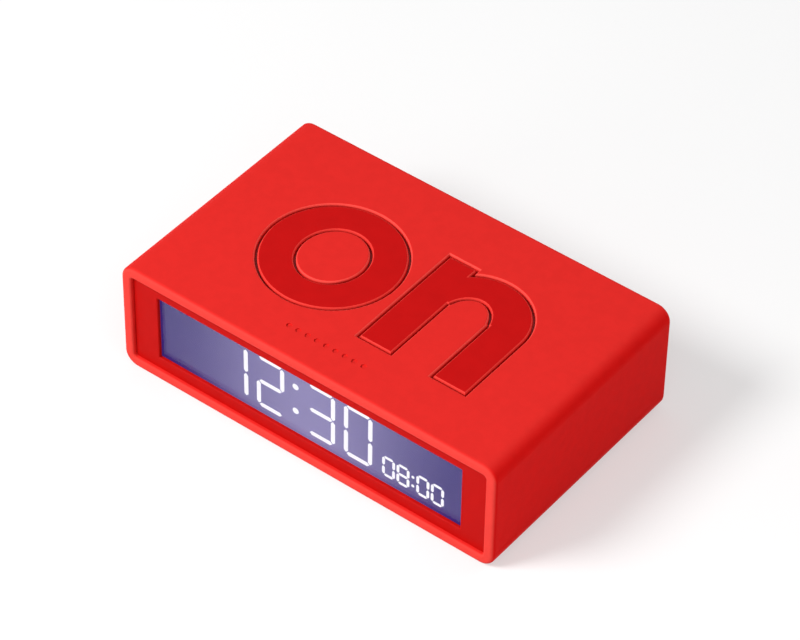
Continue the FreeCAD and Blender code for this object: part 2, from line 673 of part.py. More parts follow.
def screw(radius, length, head_radius, head_height, seat, direction):
    """A pan-head screw with a cross recess. seat is the middle of the head's underside."""
    top = seat - direction * head_height
    head = rod(head_radius, seat, top)
    top_rim = [edge for edge in rims(head) if edge.Curve.Center.distanceToPoint(top) < SAME_PLACE]
    head = head.makeFillet(head_height / 3, top_rim)
    shank = rod(radius, seat, seat + direction * (length - radius))
    point = Part.makeCone(radius, radius / 4, radius, seat + direction * (length - radius), direction)
    body = joined([head, shank, point])
    across = V(0, 1, 0) if abs(direction.z) > 0.5 else V(0, 0, 1)
    recess_deep, recess_wide = head_height * 0.6, head_radius * 0.3
    arms = []
    for arm in (V(1, 0, 0), across):
        other = arm.cross(direction)
        corner = top - arm * (head_radius * 0.6) - other * (recess_wide / 2)
        outline = [
            corner,
            corner + arm * (head_radius * 1.2),
            corner + arm * (head_radius * 1.2) + other * recess_wide,
            corner + other * recess_wide,
        ]
        arms.append(extruded(outline, direction * recess_deep))
    return body.cut(arms)


def chassis_screws():
    """The four long screws that close the chassis from below."""
    return Part.makeCompound(
        [
            screw(
                CHASSIS_SCREW_RADIUS,
                CHASSIS_SCREW_LENGTH,
                SCREW_HEAD_RADIUS,
                SCREW_HEAD_HEIGHT,
                V(x, y, SCREW_SEAT_Z),
                V(0, 0, 1),
            )
            for x, y in boss_places()
        ]
    )


def snap_tabs(y_start, inward):
    """Two tabs that run from an end plate into the chassis, each with a barb in the side wall's slot."""
    outer = ROOM_HALF - SLIDE_GAP
    inner = outer - TAB_THICK
    tip = y_start + inward * TAB_LENGTH
    barb_foot = tip - inward * BARB_LENGTH
    z0 = MID_Z - TAB_WIDTH / 2
    outline = [
        V(inner, y_start - inward * FIT, z0),
        V(outer, y_start - inward * FIT, z0),
        V(outer, barb_foot, z0),
        V(outer + BARB_REACH, barb_foot, z0),
        V(outer, tip, z0),
        V(inner, tip, z0),
    ]
    right = extruded(outline, V(0, 0, TAB_WIDTH))
    return [right, mirrored_x(right)]


# Display

def front_bezel():
    """The recessed front plate: a window with a ledge, and a pocket behind it for the lens and glass."""
    plate = slab_block(CORE_W, CORE_H, CORE_RADIUS, BEZEL_FRONT, BEZEL_BACK)
    half_w, half_h = WINDOW_HALF_W, WINDOW_HALF_H
    window = block(-half_w, half_w, BEZEL_FRONT, BEZEL_BACK, MID_Z - half_h, MID_Z + half_h)
    ledge_back = BEZEL_FRONT + WINDOW_LEDGE
    pocket = block(
        -POCKET_HALF_W, POCKET_HALF_W, ledge_back, BEZEL_BACK, MID_Z - POCKET_HALF_H, MID_Z + POCKET_HALF_H
    )
    bezel = joined([plate] + snap_tabs(BEZEL_BACK, 1)).cut([window, pocket])
    front_edges = edges_in(
        bezel, (-half_w, BEZEL_FRONT, MID_Z - half_h), (half_w, BEZEL_FRONT, MID_Z + half_h)
    )
    return bezel.makeChamfer(WINDOW_CHAMFER, front_edges)


def display_lens():
    """A clear flat plate behind the window, with its edges on the ledge."""
    low, high = MID_Z - LENS_HALF_H, MID_Z + LENS_HALF_H
    return block(-LENS_HALF_W, LENS_HALF_W, LENS_FRONT, LENS_BACK, low, high)


def lcd_cell():
    """The glass of the display."""
    return block(-LCD_HALF_W, LCD_HALF_W, LCD_FRONT, LCD_BACK, MID_Z - LCD_HALF_H, MID_Z + LCD_HALF_H)


LIT = {
    "0": "abcdef",
    "1": "bc",
    "2": "abged",
    "3": "abgcd",
    "8": "abcdefg",
}


def bar(x0, z0, x1, z1, stroke):
    """One lit stroke between two corner points of a digit, with pointed ends and a gap at each end."""
    along = V(x1 - x0, 0, z1 - z0)
    length = along.Length
    along.normalize()
    side = V(-along.z, 0, along.x)
    start = V(x0, LCD_FRONT, z0) + along * (SEGMENT_GAP / 2 * stroke)
    run = length - SEGMENT_GAP * stroke
    half = stroke / 2
    outline = [
        start,
        start + along * half + side * half,
        start + along * (run - half) + side * half,
        start + along * run,
        start + along * (run - half) - side * half,
        start + along * half - side * half,
    ]
    return extruded(outline, V(0, -SEGMENT_THICK, 0))


def digit(character, left, width, height, middle_z, stroke):
    """The lit strokes of one seven-stroke digit. left is the centre line of its left strokes."""
    right, top, bottom = left + width, middle_z + height / 2, middle_z - height / 2
    ends = {
        "a": (left, top, right, top),
        "b": (right, top, right, middle_z),
        "c": (right, middle_z, right, bottom),
        "d": (left, bottom, right, bottom),
        "e": (left, middle_z, left, bottom),
        "f": (left, top, left, middle_z),
        "g": (left, middle_z, right, middle_z),
    }
    return [bar(*ends[name], stroke) for name in LIT[character]]


def lcd_segments():
    """The lit strokes of the time and of the alarm time, as thin shapes on the glass."""
    hour_right = COLON_X - HOUR_FROM_COLON
    minute_left = COLON_X + HOUR_FROM_COLON
    lefts = [
        hour_right - BIG_PITCH - BIG_DIGIT_WIDTH,
        hour_right - BIG_DIGIT_WIDTH,
        minute_left,
        minute_left + BIG_PITCH,
    ]
    strokes = []
    big_z = MID_Z - DIGITS_DROP
    for character, left in zip(TIME_SHOWN.replace(":", ""), lefts):
        strokes += digit(character, left, BIG_DIGIT_WIDTH, BIG_DIGIT_HEIGHT, big_z, BIG_STROKE)
    small_z = big_z - (BIG_DIGIT_HEIGHT - SMALL_DIGIT_HEIGHT) / 2
    second_pair = SMALL_FIRST_X + SMALL_PITCH + SMALL_COLON_PAIR_GAP
    lefts = [SMALL_FIRST_X, SMALL_FIRST_X + SMALL_PITCH, second_pair, second_pair + SMALL_PITCH]
    for character, left in zip(ALARM_SHOWN.replace(":", ""), lefts):
        strokes += digit(character, left, SMALL_DIGIT_WIDTH, SMALL_DIGIT_HEIGHT, small_z, SMALL_STROKE)
    small_colon_x = (SMALL_FIRST_X + SMALL_PITCH + SMALL_DIGIT_WIDTH + second_pair) / 2
    front = V(0, -SEGMENT_THICK, 0)
    for sign in (-1, 1):
        big = V(COLON_X, LCD_FRONT, big_z + COLON_RISE + sign * COLON_SPREAD)
        small = V(small_colon_x, LCD_FRONT, small_z + sign * SMALL_DIGIT_HEIGHT / 4)
        strokes.append(rod(COLON_RADIUS, big, big + front))
        strokes.append(rod(SMALL_COLON_RADIUS, small, small + front))
    return Part.makeCompound(strokes)


def light_guide():
    """The clear slab that spreads the lamps' light behind the glass."""
    low, high = MID_Z - GUIDE_HALF_H, MID_Z + GUIDE_HALF_H
    return block(-GUIDE_HALF_W, GUIDE_HALF_W, LCD_BACK + FIT, GUIDE_BACK, low, high)


def backlight_lamps():
    """Two rows of small lamps that stand on the board and light the guide from its ends."""
    lamps = []
    half = LAMP_HEIGHT / 2
    inner, front = LCD_HALF_W - LAMP_THICK, LCD_BACK + SLIDE_GAP
    for side in (-1, 1):
        for k in (-1, 0, 1):
            z = MID_Z + k * LAMP_SPREAD
            lamps.append(side_block(side, inner, LCD_HALF_W, front, BOARD_FRONT, z - half, z + half))
    return Part.makeCompound(lamps)


def reflector_sheet():
    """White sheet behind the guide."""
    y0 = GUIDE_BACK + FIT
    low, high = MID_Z - GUIDE_HALF_H, MID_Z + GUIDE_HALF_H
    return block(-GUIDE_HALF_W, GUIDE_HALF_W, y0, y0 + REFLECTOR_THICK, low, high)


def connector_strips():
    """Two striped rubber strips that join the glass to the board along its long edges."""
    strips = []
    half_w = LCD_HALF_W - STRIP_END_GAP
    for side in (-1, 1):
        z_out, z_in = MID_Z + side * STRIP_HALF_H, MID_Z + side * (STRIP_HALF_H - STRIP_THICK)
        strips.append(block(-half_w, half_w, LCD_BACK, BOARD_FRONT, min(z_out, z_in), max(z_out, z_in)))
    return Part.makeCompound(strips)


def lug_places():
    """Middles of the four screw lugs of the display holder."""
    return [(sx * LUG_X, MID_Z + sz * LUG_DZ) for sx in (-1, 1) for sz in (-1, 1)]


def display_holder():
    """The frame that keeps the glass, the guide and the strips on the main board."""
    y0, y1 = BEZEL_BACK + HOLDER_FRONT_GAP, BOARD_FRONT
    ring = block(
        -HOLDER_HALF_W, HOLDER_HALF_W, y0, y1, MID_Z - HOLDER_HALF_H, MID_Z + HOLDER_HALF_H
    )
    inner_w, inner_h = HOLDER_HALF_W - HOLDER_WALL, HOLDER_HALF_H - HOLDER_WALL
    lugs = [rod(LUG_RADIUS, V(x, y0, z), V(x, y1, z)) for x, z in lug_places()]
    frame = joined([ring] + lugs)
    frame = frame.cut(block(-inner_w, inner_w, y0, y1, MID_Z - inner_h, MID_Z + inner_h))
    depth = SMALL_SCREW_LENGTH - BOARD_THICK + SLIDE_GAP
    bore = SMALL_SCREW_RADIUS + SCREW_FIT
    pilots = [rod(bore, V(x, y1 - depth, z), V(x, y1, z)) for x, z in lug_places()]
    return frame.cut(pilots)


def main_board():
    """The circuit board behind the display, notched at its ends where the bezel's tabs pass."""
    board = block(
        -BOARD_HALF_W, BOARD_HALF_W, BOARD_FRONT, BOARD_BACK, MID_Z - HOLDER_HALF_H, MID_Z + HOLDER_HALF_H
    )
    clear = SMALL_SCREW_RADIUS + FIT
    cuts = [rod(clear, V(x, BOARD_FRONT, z), V(x, BOARD_BACK, z)) for x, z in lug_places()]
    half = TAB_WIDTH / 2 + SLIDE_GAP
    inner = TAB_INNER - SLIDE_GAP
    low, high = MID_Z - half, MID_Z + half
    cuts += [side_block(side, inner, BOARD_HALF_W, BOARD_FRONT, BOARD_BACK, low, high) for side in (-1, 1)]
    return board.cut(cuts)


def board_screws():
    """Four small screws through the board into the display holder."""
    return Part.makeCompound(
        [
            screw(
                SMALL_SCREW_RADIUS,
                SMALL_SCREW_LENGTH,
                SMALL_HEAD_RADIUS,
                SMALL_HEAD_HEIGHT,
                V(x, BOARD_BACK, z),
                V(0, -1, 0),
            )
            for x, z in lug_places()
        ]
    )


def controller_blob():
    """The black resin drop over the clock chip: the cap of a ball."""
    ball = (BLOB_RADIUS ** 2 + BLOB_HEIGHT ** 2) / (2 * BLOB_HEIGHT)
    top = V(BLOB_X, BOARD_BACK + BLOB_HEIGHT, MID_Z)
    keep = rod(BLOB_RADIUS + FIT, V(BLOB_X, BOARD_BACK, MID_Z), top)
    return Part.makeSphere(ball, top - V(0, ball, 0)).common(keep)


def crystal_can():
    """The timekeeping crystal, a small can that lies on the board."""
    start = V(CRYSTAL_X, BOARD_BACK + CRYSTAL_RADIUS, MID_Z - CRYSTAL_LENGTH / 2)
    can = rod(CRYSTAL_RADIUS, start, start + V(0, 0, CRYSTAL_LENGTH))
    return can.makeFillet(CRYSTAL_RADIUS / 4, rims(can))


def capacitors():
    """Upright can capacitors on the board."""
    cans = []
    for x in CAPACITOR_X:
        start = V(x, BOARD_BACK, MID_Z - CAPACITOR_RADIUS)
        can = rod(CAPACITOR_RADIUS, start, start + V(0, CAPACITOR_HEIGHT, 0))
        top_rim = [edge for edge in rims(can) if edge.Curve.Center.y > start.y + CAPACITOR_RADIUS]
        cans.append(can.makeFillet(CAPACITOR_RADIUS / 6, top_rim))
    return Part.makeCompound(cans)


# The switch that feels which face is up: a ball that rolls from one end of a can to the other

def tilt_axis(z):
    """A point on the ball's path."""
    return V(TILT_X, BOARD_BACK + TILT_RADIUS, z)


def ball_room():
    """Lowest and highest point of the space that the ball rolls in."""
    floor_z = MID_Z - BALL_RADIUS - BALL_TRAVEL / 2 - BALL_REST_GAP
    return floor_z, floor_z + 2 * (BALL_RADIUS + BALL_REST_GAP) + BALL_TRAVEL


def tilt_can():
    """The upper end and the wall of the can, open below."""
    floor_z, roof_z = ball_room()
    shell = rod(TILT_RADIUS, tilt_axis(floor_z - TILT_PLUG), tilt_axis(roof_z + TILT_WALL))
    return shell.cut(rod(TILT_BORE, tilt_axis(floor_z - TILT_PLUG), tilt_axis(roof_z)))


def tilt_plug():
    """The plug that closes the can, with two contact pins that bend down to the board."""
    floor_z = ball_room()[0]
    plug = rod(TILT_BORE - FIT, tilt_axis(floor_z - TILT_PLUG), tilt_axis(floor_z))
    pins = []
    for side in (-1, 1):
        middle = tilt_axis(floor_z - TILT_PLUG / 2) + V(side * TILT_BORE / 2, 0, 0)
        low = middle - V(0, 0, TILT_PLUG / 2 + TILT_PIN_DROP)
        pins.append(wire([middle, low, V(low.x, BOARD_BACK, low.z)], TILT_PIN_RADIUS))
    return joined([plug] + pins)


def tilt_ball():
    """The rolling ball, at the lower end of its travel."""
    return Part.makeSphere(BALL_RADIUS, tilt_axis(ball_room()[0] + BALL_REST_GAP + BALL_RADIUS))


def rounded_path(points):
    """Straight runs through the points, joined by the largest tangent arcs that the runs allow."""
    edges = []
    last = points[0]
    for before, corner, after in zip(points, points[1:], points[2:]):
        arriving, leaving = (corner - before).normalize(), (after - corner).normalize()
        turn = arriving.getAngle(leaving)
        setback = RUN_SHARE * min((corner - before).Length, (after - corner).Length)
        bend = setback / math.tan(turn / 2)
        start, end = corner - arriving * setback, corner + leaving * setback
        towards = (leaving - arriving).normalize()
        middle = corner + towards * (bend / math.cos(turn / 2) - bend)
        edges.append(Part.LineSegment(last, start).toShape())
        edges.append(Part.Arc(start, middle, end).toShape())
        last = end
    edges.append(Part.LineSegment(last, points[-1]).toShape())
    return Part.Wire(edges)


def bent_strip(points, thick, wide):
    """A flat strip, wide along X, whose edge follows points given as (y, z) pairs."""
    path = rounded_path([V(0, y, z) for y, z in points])
    along = V(0, points[1][0] - points[0][0], points[1][1] - points[0][1]).normalize()
    across = V(0, -along.z, along.y)
    side = V(wide, 0, 0)
    start = V(-wide / 2, points[0][0], points[0][1]) - across * (thick / 2)
    outline = [start, start + side, start + side + across * thick, start + across * thick]
    return path.makePipeShell([Part.makePolygon(outline + [outline[0]])], True, False)


def wire(points, radius):
    """A round wire along the points."""
    ring = Part.Wire(Part.Circle(points[0], (points[1] - points[0]).normalize(), radius).toShape())
    return rounded_path(points).makePipeShell([ring], True, False)


def touch_pads():
    """Copper foil under the upper face and over the lower face, behind the dimples."""
    y0 = CHASSIS_FRONT + PAD_FRONT_GAP
    y1 = y0 + PAD_DEPTH
    upper = block(-PAD_WIDTH / 2, PAD_WIDTH / 2, y0, y1, ROOM_HIGH - PAD_THICK, ROOM_HIGH)
    lower = block(-PAD_WIDTH / 2, PAD_WIDTH / 2, y0, y1, ROOM_LOW, ROOM_LOW + PAD_THICK)
    return upper, lower


def touch_leaves():
    """Leaf springs that join the two foils to the board."""
    start_z = ROOM_HIGH - PAD_THICK - LEAF_THICK / 2 - LEAF_DROP
    points = [
        (BOARD_BACK, start_z),
        (BOARD_BACK + LEAF_REACH, start_z),
        (BOARD_BACK + LEAF_REACH, start_z + LEAF_DROP),
        (BOARD_BACK + 2 * LEAF_REACH / 3, start_z + LEAF_DROP),
    ]
    upper = bent_strip(points, LEAF_THICK, LEAF_WIDTH)
    lower = upper.mirror(V(0, 0, MID_Z), V(0, 0, 1))
    return Part.makeCompound([upper, lower])


# Buzzer

def buzzer_ring():
    """The resonator wall under the buzzer plate, glued to the chassis floor."""
    base = V(BUZZER_X, BUZZER_Y, ROOM_LOW)
    top = base + V(0, 0, BUZZER_RING_HEIGHT)
    return rod(BUZZER_RADIUS, base, top).cut(rod(BUZZER_RADIUS - BUZZER_RING_WALL, base, top))


def buzzer_plate():
    """The brass plate that sounds."""
    base = V(BUZZER_X, BUZZER_Y, ROOM_LOW + BUZZER_RING_HEIGHT)
    return rod(BUZZER_RADIUS, base, base + V(0, 0, BUZZER_PLATE))


def piezo_disc():
    """The ceramic disc that drives the plate."""
    base = V(BUZZER_X, BUZZER_Y, ROOM_LOW + BUZZER_RING_HEIGHT + BUZZER_PLATE)
    return rod(PIEZO_RADIUS, base, base + V(0, 0, PIEZO_THICK))


# Battery bay

def tail_room(z):
    """The slot in the bay's floor that a contact's tail passes through."""
    half = CONTACT_TAIL_WIDTH / 2 + FIT
    x0 = BAY_IN_RIGHT - CONTACT_THICK - FIT
    return block(x0, BAY_IN_RIGHT, BAY_FRONT, BAY_IN_FLOOR, MID_Z + z - half, MID_Z + z + half)


def battery_tray():
    """The open box for the cells, with a ridge between them."""
    half = BAY_HALF_H + BAY_WALL
    outer = block(BAY_LEFT, BAY_RIGHT, BAY_FRONT, BAY_RIM, MID_Z - half, MID_Z + half)
    inner = block(BAY_IN_LEFT, BAY_IN_RIGHT, BAY_IN_FLOOR, BAY_RIM, MID_Z - BAY_HALF_H, MID_Z + BAY_HALF_H)
    ridge = block(
        BAY_IN_LEFT + SPRING_LENGTH,
        BAY_IN_RIGHT - SPRING_LENGTH,
        BAY_FRONT + FIT,
        BAY_IN_FLOOR + 2 * BAY_FLOOR,
        MID_Z - BAY_WALL / 2,
        MID_Z + BAY_WALL / 2,
    )
    return joined([outer.cut(inner), ridge]).cut([tail_room(CELL_Z), tail_room(-CELL_Z)])


def cell(z, towards):
    """One cell with its rounded can and its nub. towards is the way along X that the nub points."""
    wall = BAY_IN_RIGHT if towards > 0 else BAY_IN_LEFT
    tip = V(wall - towards * (CONTACT_THICK + NUB_GAP), CELL_Y, MID_Z + z)
    along = V(towards, 0, 0)
    can = rod(CELL_RADIUS, tip - along * CELL_LENGTH, tip - along * NUB_LENGTH)
    can = can.makeFillet(CELL_RADIUS / 12, rims(can))
    nub = rod(NUB_RADIUS, tip - along * (NUB_LENGTH + FIT), tip)
    tip_rim = [edge for edge in rims(nub) if edge.Curve.Center.distanceToPoint(tip) < SAME_PLACE]
    return joined([can, nub.makeFillet(NUB_RADIUS / 6, tip_rim)])


def contact_plate(z, height, x_wall, inward, tail):
    """A flat contact against an end wall of the bay. inward points away from that wall."""
    x0, x1 = sorted((x_wall, x_wall + inward * CONTACT_THICK))
    y0 = BAY_IN_FLOOR + CONTACT_MARGIN
    plate = block(x0, x1, y0, CONTACT_TOP, MID_Z + z - height / 2, MID_Z + z + height / 2)
    if not tail:
        return plate
    half = CONTACT_TAIL_WIDTH / 2
    strip = block(x0, x1, BAY_IN_FLOOR - CONTACT_TAIL, y0 + FIT, MID_Z + z - half, MID_Z + z + half)
    return joined([plate, strip])


def contact_spring(z, x_plate, towards):
    """A cone of round wire from a contact plate to a cell's flat end, wound in one unbroken tube."""
    steps = 4 * SPRING_TURNS
    base = x_plate + towards * SPRING_WIRE
    run = SPRING_LENGTH - 2 * SPRING_WIRE

    def at(turn):
        share = turn / SPRING_TURNS
        radius = SPRING_WIDE + (SPRING_NARROW - SPRING_WIDE) * share
        angle = 2 * math.pi * turn
        y, z_up = radius * math.cos(angle), radius * math.sin(angle)
        return V(base + towards * run * share, CELL_Y + y, MID_Z + z + z_up)

    arcs = []
    for k in range(steps):
        start, middle, end = (at((k + share) / 4) for share in (0, 0.5, 1))
        arcs.append(Part.Arc(start, middle, end).toShape())
    path = Part.Wire(arcs)
    first = arcs[0]
    ring = Part.Wire(Part.Circle(at(0), first.tangentAt(first.FirstParameter), SPRING_WIRE).toShape())
    return path.makePipeShell([ring], True, False)


# Rear panel, door and buttons

def rear_panel():
    """The recessed rear plate: door opening, hinge bores, button holes, sound holes and screw posts."""
    plate = slab_block(CORE_W, CORE_H, CORE_RADIUS, PANEL_BACK, PANEL_FACE)
    root = PANEL_BACK + FIT
    posts = [rod(POST_RADIUS, V(x, root, BUTTON_Z), V(x, BUTTON_BOARD_Y, BUTTON_Z)) for x in POST_X]
    panel = joined([plate] + posts + snap_tabs(PANEL_BACK, -1))
    half = DOOR_HALF_H + DOOR_EDGE_GAP
    cuts = [
        block(
            DOOR_LEFT - DOOR_EDGE_GAP,
            HINGE_X + HINGE_RADIUS + DOOR_EDGE_GAP,
            PANEL_BACK,
            PANEL_FACE,
            MID_Z - half,
            MID_Z + half,
        )
    ]
    bore_end = DOOR_HALF_H + HINGE_PIN_LENGTH + DOOR_EDGE_GAP
    bore_low, bore_high = V(HINGE_X, HINGE_Y, MID_Z - bore_end), V(HINGE_X, HINGE_Y, MID_Z + bore_end)
    cuts.append(rod(HINGE_PIN_RADIUS + PIN_FIT, bore_low, bore_high))
    hole = BUTTON_RADIUS + BUTTON_HOLE_GAP
    for x in BUTTON_X:
        cuts.append(rod(hole, V(x, PANEL_BACK, BUTTON_Z), V(x, PANEL_FACE, BUTTON_Z)))
    for k in range(SOUND_HOLE_COUNT):
        x = BUTTON_X[-1] - k * SOUND_HOLE_PITCH
        cuts.append(rod(SOUND_HOLE_RADIUS, V(x, PANEL_BACK, SOUND_ROW_Z), V(x, PANEL_FACE, SOUND_ROW_Z)))
    depth = SMALL_SCREW_LENGTH - BUTTON_BOARD_THICK + SLIDE_GAP
    for x in POST_X:
        start = V(x, BUTTON_BOARD_Y, BUTTON_Z)
        cuts.append(rod(SMALL_SCREW_RADIUS + SCREW_FIT, start, start + V(0, depth, 0)))
    return panel.cut(cuts)


def battery_door():
    """The door: a plate with a rounded hinge edge on two pins, a friction tongue and thumb ribs."""
    z0, z1 = MID_Z - DOOR_HALF_H, MID_Z + DOOR_HALF_H
    plate = block(DOOR_LEFT, HINGE_X, DOOR_BACK, PANEL_FACE, z0, z1)
    barrel = rod(HINGE_RADIUS, V(HINGE_X, HINGE_Y, z0), V(HINGE_X, HINGE_Y, z1))
    pin_low = V(HINGE_X, HINGE_Y, z0 - HINGE_PIN_LENGTH)
    pins = rod(HINGE_PIN_RADIUS, pin_low, V(HINGE_X, HINGE_Y, z1 + HINGE_PIN_LENGTH))
    tongue_x = BAY_IN_LEFT + SLIDE_GAP
    tongue = block(
        tongue_x,
        tongue_x + TONGUE_THICK,
        CONTACT_TOP + SLIDE_GAP,
        DOOR_BACK + FIT,
        MID_Z - TONGUE_WIDTH / 2,
        MID_Z + TONGUE_WIDTH / 2,
    )
    door = joined([plate, barrel, pins, tongue])
    grooves = []
    for k in range(THUMB_RIB_COUNT):
        x = DOOR_LEFT + THUMB_FROM_END + k * THUMB_RIB_PITCH
        grooves.append(
            block(
                x,
                x + THUMB_RIB_WIDTH,
                PANEL_FACE - THUMB_RIB_DEPTH,
                PANEL_FACE,
                MID_Z - THUMB_RIB_LENGTH / 2,
                MID_Z + THUMB_RIB_LENGTH / 2,
            )
        )
    return door.cut(grooves)


def button_cap(x):
    """A round button with a flange behind the panel and a stem to its switch."""
    face = PANEL_FACE + BUTTON_PROUD
    flange_face = PANEL_BACK - FIT
    cap = rod(BUTTON_RADIUS, V(x, flange_face - FIT, BUTTON_Z), V(x, face, BUTTON_Z))
    face_rim = [edge for edge in rims(cap) if edge.Curve.Center.y > face - FIT]
    cap = cap.makeFillet(BUTTON_ROUND, face_rim)
    flange_back = flange_face - BUTTON_FLANGE
    flange = rod(BUTTON_FLANGE_RADIUS, V(x, flange_back, BUTTON_Z), V(x, flange_face, BUTTON_Z))
    stem = rod(BUTTON_STEM_RADIUS, V(x, PLUNGER_TIP, BUTTON_Z), V(x, flange_face - FIT, BUTTON_Z))
    return joined([cap, flange, stem])


def switch_plunger(x):
    """The moving pin of one switch, which touches the button's stem."""
    return rod(PLUNGER_RADIUS, V(x, PLUNGER_TIP - PLUNGER_LENGTH, BUTTON_Z), V(x, PLUNGER_TIP, BUTTON_Z))


def push_switches():
    """The fixed bodies of the four switches, with a bore for each plunger."""
    bodies = []
    half = SWITCH_SIZE / 2
    bore_radius = PLUNGER_RADIUS + PLUNGER_BORE_GAP
    bore_floor = PLUNGER_TIP - PLUNGER_LENGTH - BUTTON_TRAVEL - SLIDE_GAP
    for x in BUTTON_X:
        body = block(x - half, x + half, BUTTON_BOARD_Y, SWITCH_TOP, BUTTON_Z - half, BUTTON_Z + half)
        bodies.append(body.cut(rod(bore_radius, V(x, bore_floor, BUTTON_Z), V(x, SWITCH_TOP, BUTTON_Z))))
    return Part.makeCompound(bodies)


def button_board():
    """The narrow board behind the buttons, screwed to the panel's posts."""
    front = BUTTON_BOARD_Y - BUTTON_BOARD_THICK
    half = BUTTON_BOARD_HEIGHT / 2
    board = block(*BUTTON_BOARD_X, front, BUTTON_BOARD_Y, BUTTON_Z - half, BUTTON_Z + half)
    clear = SMALL_SCREW_RADIUS + FIT
    return board.cut([rod(clear, V(x, front, BUTTON_Z), V(x, BUTTON_BOARD_Y, BUTTON_Z)) for x in POST_X])


def button_board_screws():
    """Two small screws from the board into the posts."""
    seat_y = BUTTON_BOARD_Y - BUTTON_BOARD_THICK
    return Part.makeCompound(
        [
            screw(
                SMALL_SCREW_RADIUS,
                SMALL_SCREW_LENGTH,
                SMALL_HEAD_RADIUS,
                SMALL_HEAD_HEIGHT,
                V(x, seat_y, BUTTON_Z),
                V(0, 1, 0),
            )
            for x in POST_X
        ]
    )


# Wires inside the case

def battery_lead(side):
    """A lead from a contact's tail to the main board. side is 1 for the upper contact, -1 for the lower."""
    tail = V(BAY_IN_RIGHT - CONTACT_THICK / 2, BAY_IN_FLOOR - CONTACT_TAIL, MID_Z + side * CELL_Z)
    pad = V(LEAD_X, BOARD_BACK, MID_Z + side * LEAD_FROM_MIDDLE)
    third = V(0, (tail.y - pad.y) / 3, 0)
    return wire([tail, tail - third, pad + third, pad], WIRE_RADIUS)


def buzzer_leads():
    """Two leads that rise from the buzzer and arch over to the main board."""
    leads = []
    for side in (-1, 1):
        foot = V(
            BUZZER_X + side * BUZZER_LEAD_GAP / 2,
            BUZZER_Y,
            ROOM_LOW + BUZZER_RING_HEIGHT + BUZZER_PLATE + PIEZO_THICK,
        )
        top = foot + V(0, 0, BUZZER_LEAD_RISE)
        pad = V(foot.x, BOARD_BACK, top.z)
        landing = pad + V(0, BUZZER_LEAD_RISE, 0)
        arch = (top + landing) * 0.5 + V(0, 0, BUZZER_LEAD_ARCH)
        leads.append(wire([foot, top, arch, landing, pad], WIRE_RADIUS))
    return Part.makeCompound(leads)


def button_ribbon():
    """The flat cable from the button board to the main board."""
    start = BUTTON_BOARD_Y - BUTTON_BOARD_THICK
    ribbon = bent_strip(
        [
            (start, BUTTON_Z),
            (start - RIBBON_FROM_WALL, BUTTON_Z),
            ((start + BOARD_BACK) / 2, BUTTON_Z + RIBBON_ARCH),
            (BOARD_BACK + RIBBON_FROM_WALL, BUTTON_Z),
            (BOARD_BACK, BUTTON_Z),
        ],
        RIBBON_THICK,
        RIBBON_WIDTH,
    )
    return ribbon.translated(V((BUTTON_X[0] + BUTTON_X[1]) / 2, 0, 0))


def build():
    """Fills the table of nodes."""
    sleeve, *centres = sorted(soft_skin().Solids, key=lambda solid: -solid.Volume)
    parts["soft_skin"] = sleeve
    parts["off_o_centre"], parts["on_o_centre"] = sorted(centres, key=lambda solid: solid.BoundBox.ZMin)
    on_inlays = letter_inlays(on_word, on_pegs(), CORE_HIGH, BODY_HEIGHT - LETTER_SINK)
    off_inlays = letter_inlays(off_word, off_pegs(), CORE_LOW, LETTER_SINK)
    parts.update(zip(ON_NAMES + OFF_NAMES, on_inlays + off_inlays))
    parts["chassis_lower"], parts["chassis_upper"] = chassis_halves()
    parts["chassis_screws"] = chassis_screws()
    parts["front_bezel"] = front_bezel()
    parts["display_lens"] = display_lens()
    parts["lcd_cell"] = lcd_cell()
    parts["lcd_segments"] = lcd_segments()
    parts["light_guide"] = light_guide()
    parts["backlight_lamps"] = backlight_lamps()
    parts["reflector_sheet"] = reflector_sheet()
    parts["connector_strips"] = connector_strips()
    parts["display_holder"] = display_holder()
    parts["main_board"] = main_board()
    parts["board_screws"] = board_screws()
    parts["controller_blob"] = controller_blob()
    parts["crystal_can"] = crystal_can()
    parts["capacitors"] = capacitors()
    parts["tilt_can"] = tilt_can()
    parts["tilt_plug"] = tilt_plug()
    parts["tilt_ball"] = tilt_ball()
    parts["touch_pad_upper"], parts["touch_pad_lower"] = touch_pads()
    parts["touch_leaves"] = touch_leaves()
    parts["buzzer_ring"] = buzzer_ring()
    parts["buzzer_plate"] = buzzer_plate()
    parts["piezo_disc"] = piezo_disc()
    parts["battery_tray"] = battery_tray()
    parts["lower_cell"] = cell(-CELL_Z, 1)
    parts["upper_cell"] = cell(CELL_Z, -1)
    plate_high = 2 * (CELL_RADIUS - CONTACT_MARGIN)
    parts["bridge_contact"] = contact_plate(0, plate_high + 2 * CELL_Z, BAY_IN_LEFT, 1, False)
    parts["plus_contact"] = contact_plate(-CELL_Z, plate_high, BAY_IN_RIGHT, -1, True)
    parts["minus_contact"] = contact_plate(CELL_Z, plate_high, BAY_IN_RIGHT, -1, True)
    parts["lower_spring"] = contact_spring(-CELL_Z, BAY_IN_LEFT + CONTACT_THICK, 1)
    parts["upper_spring"] = contact_spring(CELL_Z, BAY_IN_RIGHT - CONTACT_THICK, -1)
    parts["rear_panel"] = rear_panel()
    parts["battery_door"] = battery_door()
    for name, x in zip(BUTTON_NAMES, BUTTON_X):
        parts[name + "_button"] = button_cap(x)
        parts[name + "_plunger"] = switch_plunger(x)
    parts["push_switches"] = push_switches()
    parts["button_board"] = button_board()
    parts["button_board_screws"] = button_board_screws()
    parts["red_lead"] = battery_lead(-1)
    parts["black_lead"] = battery_lead(1)
    parts["buzzer_leads"] = buzzer_leads()
    parts["button_ribbon"] = button_ribbon()


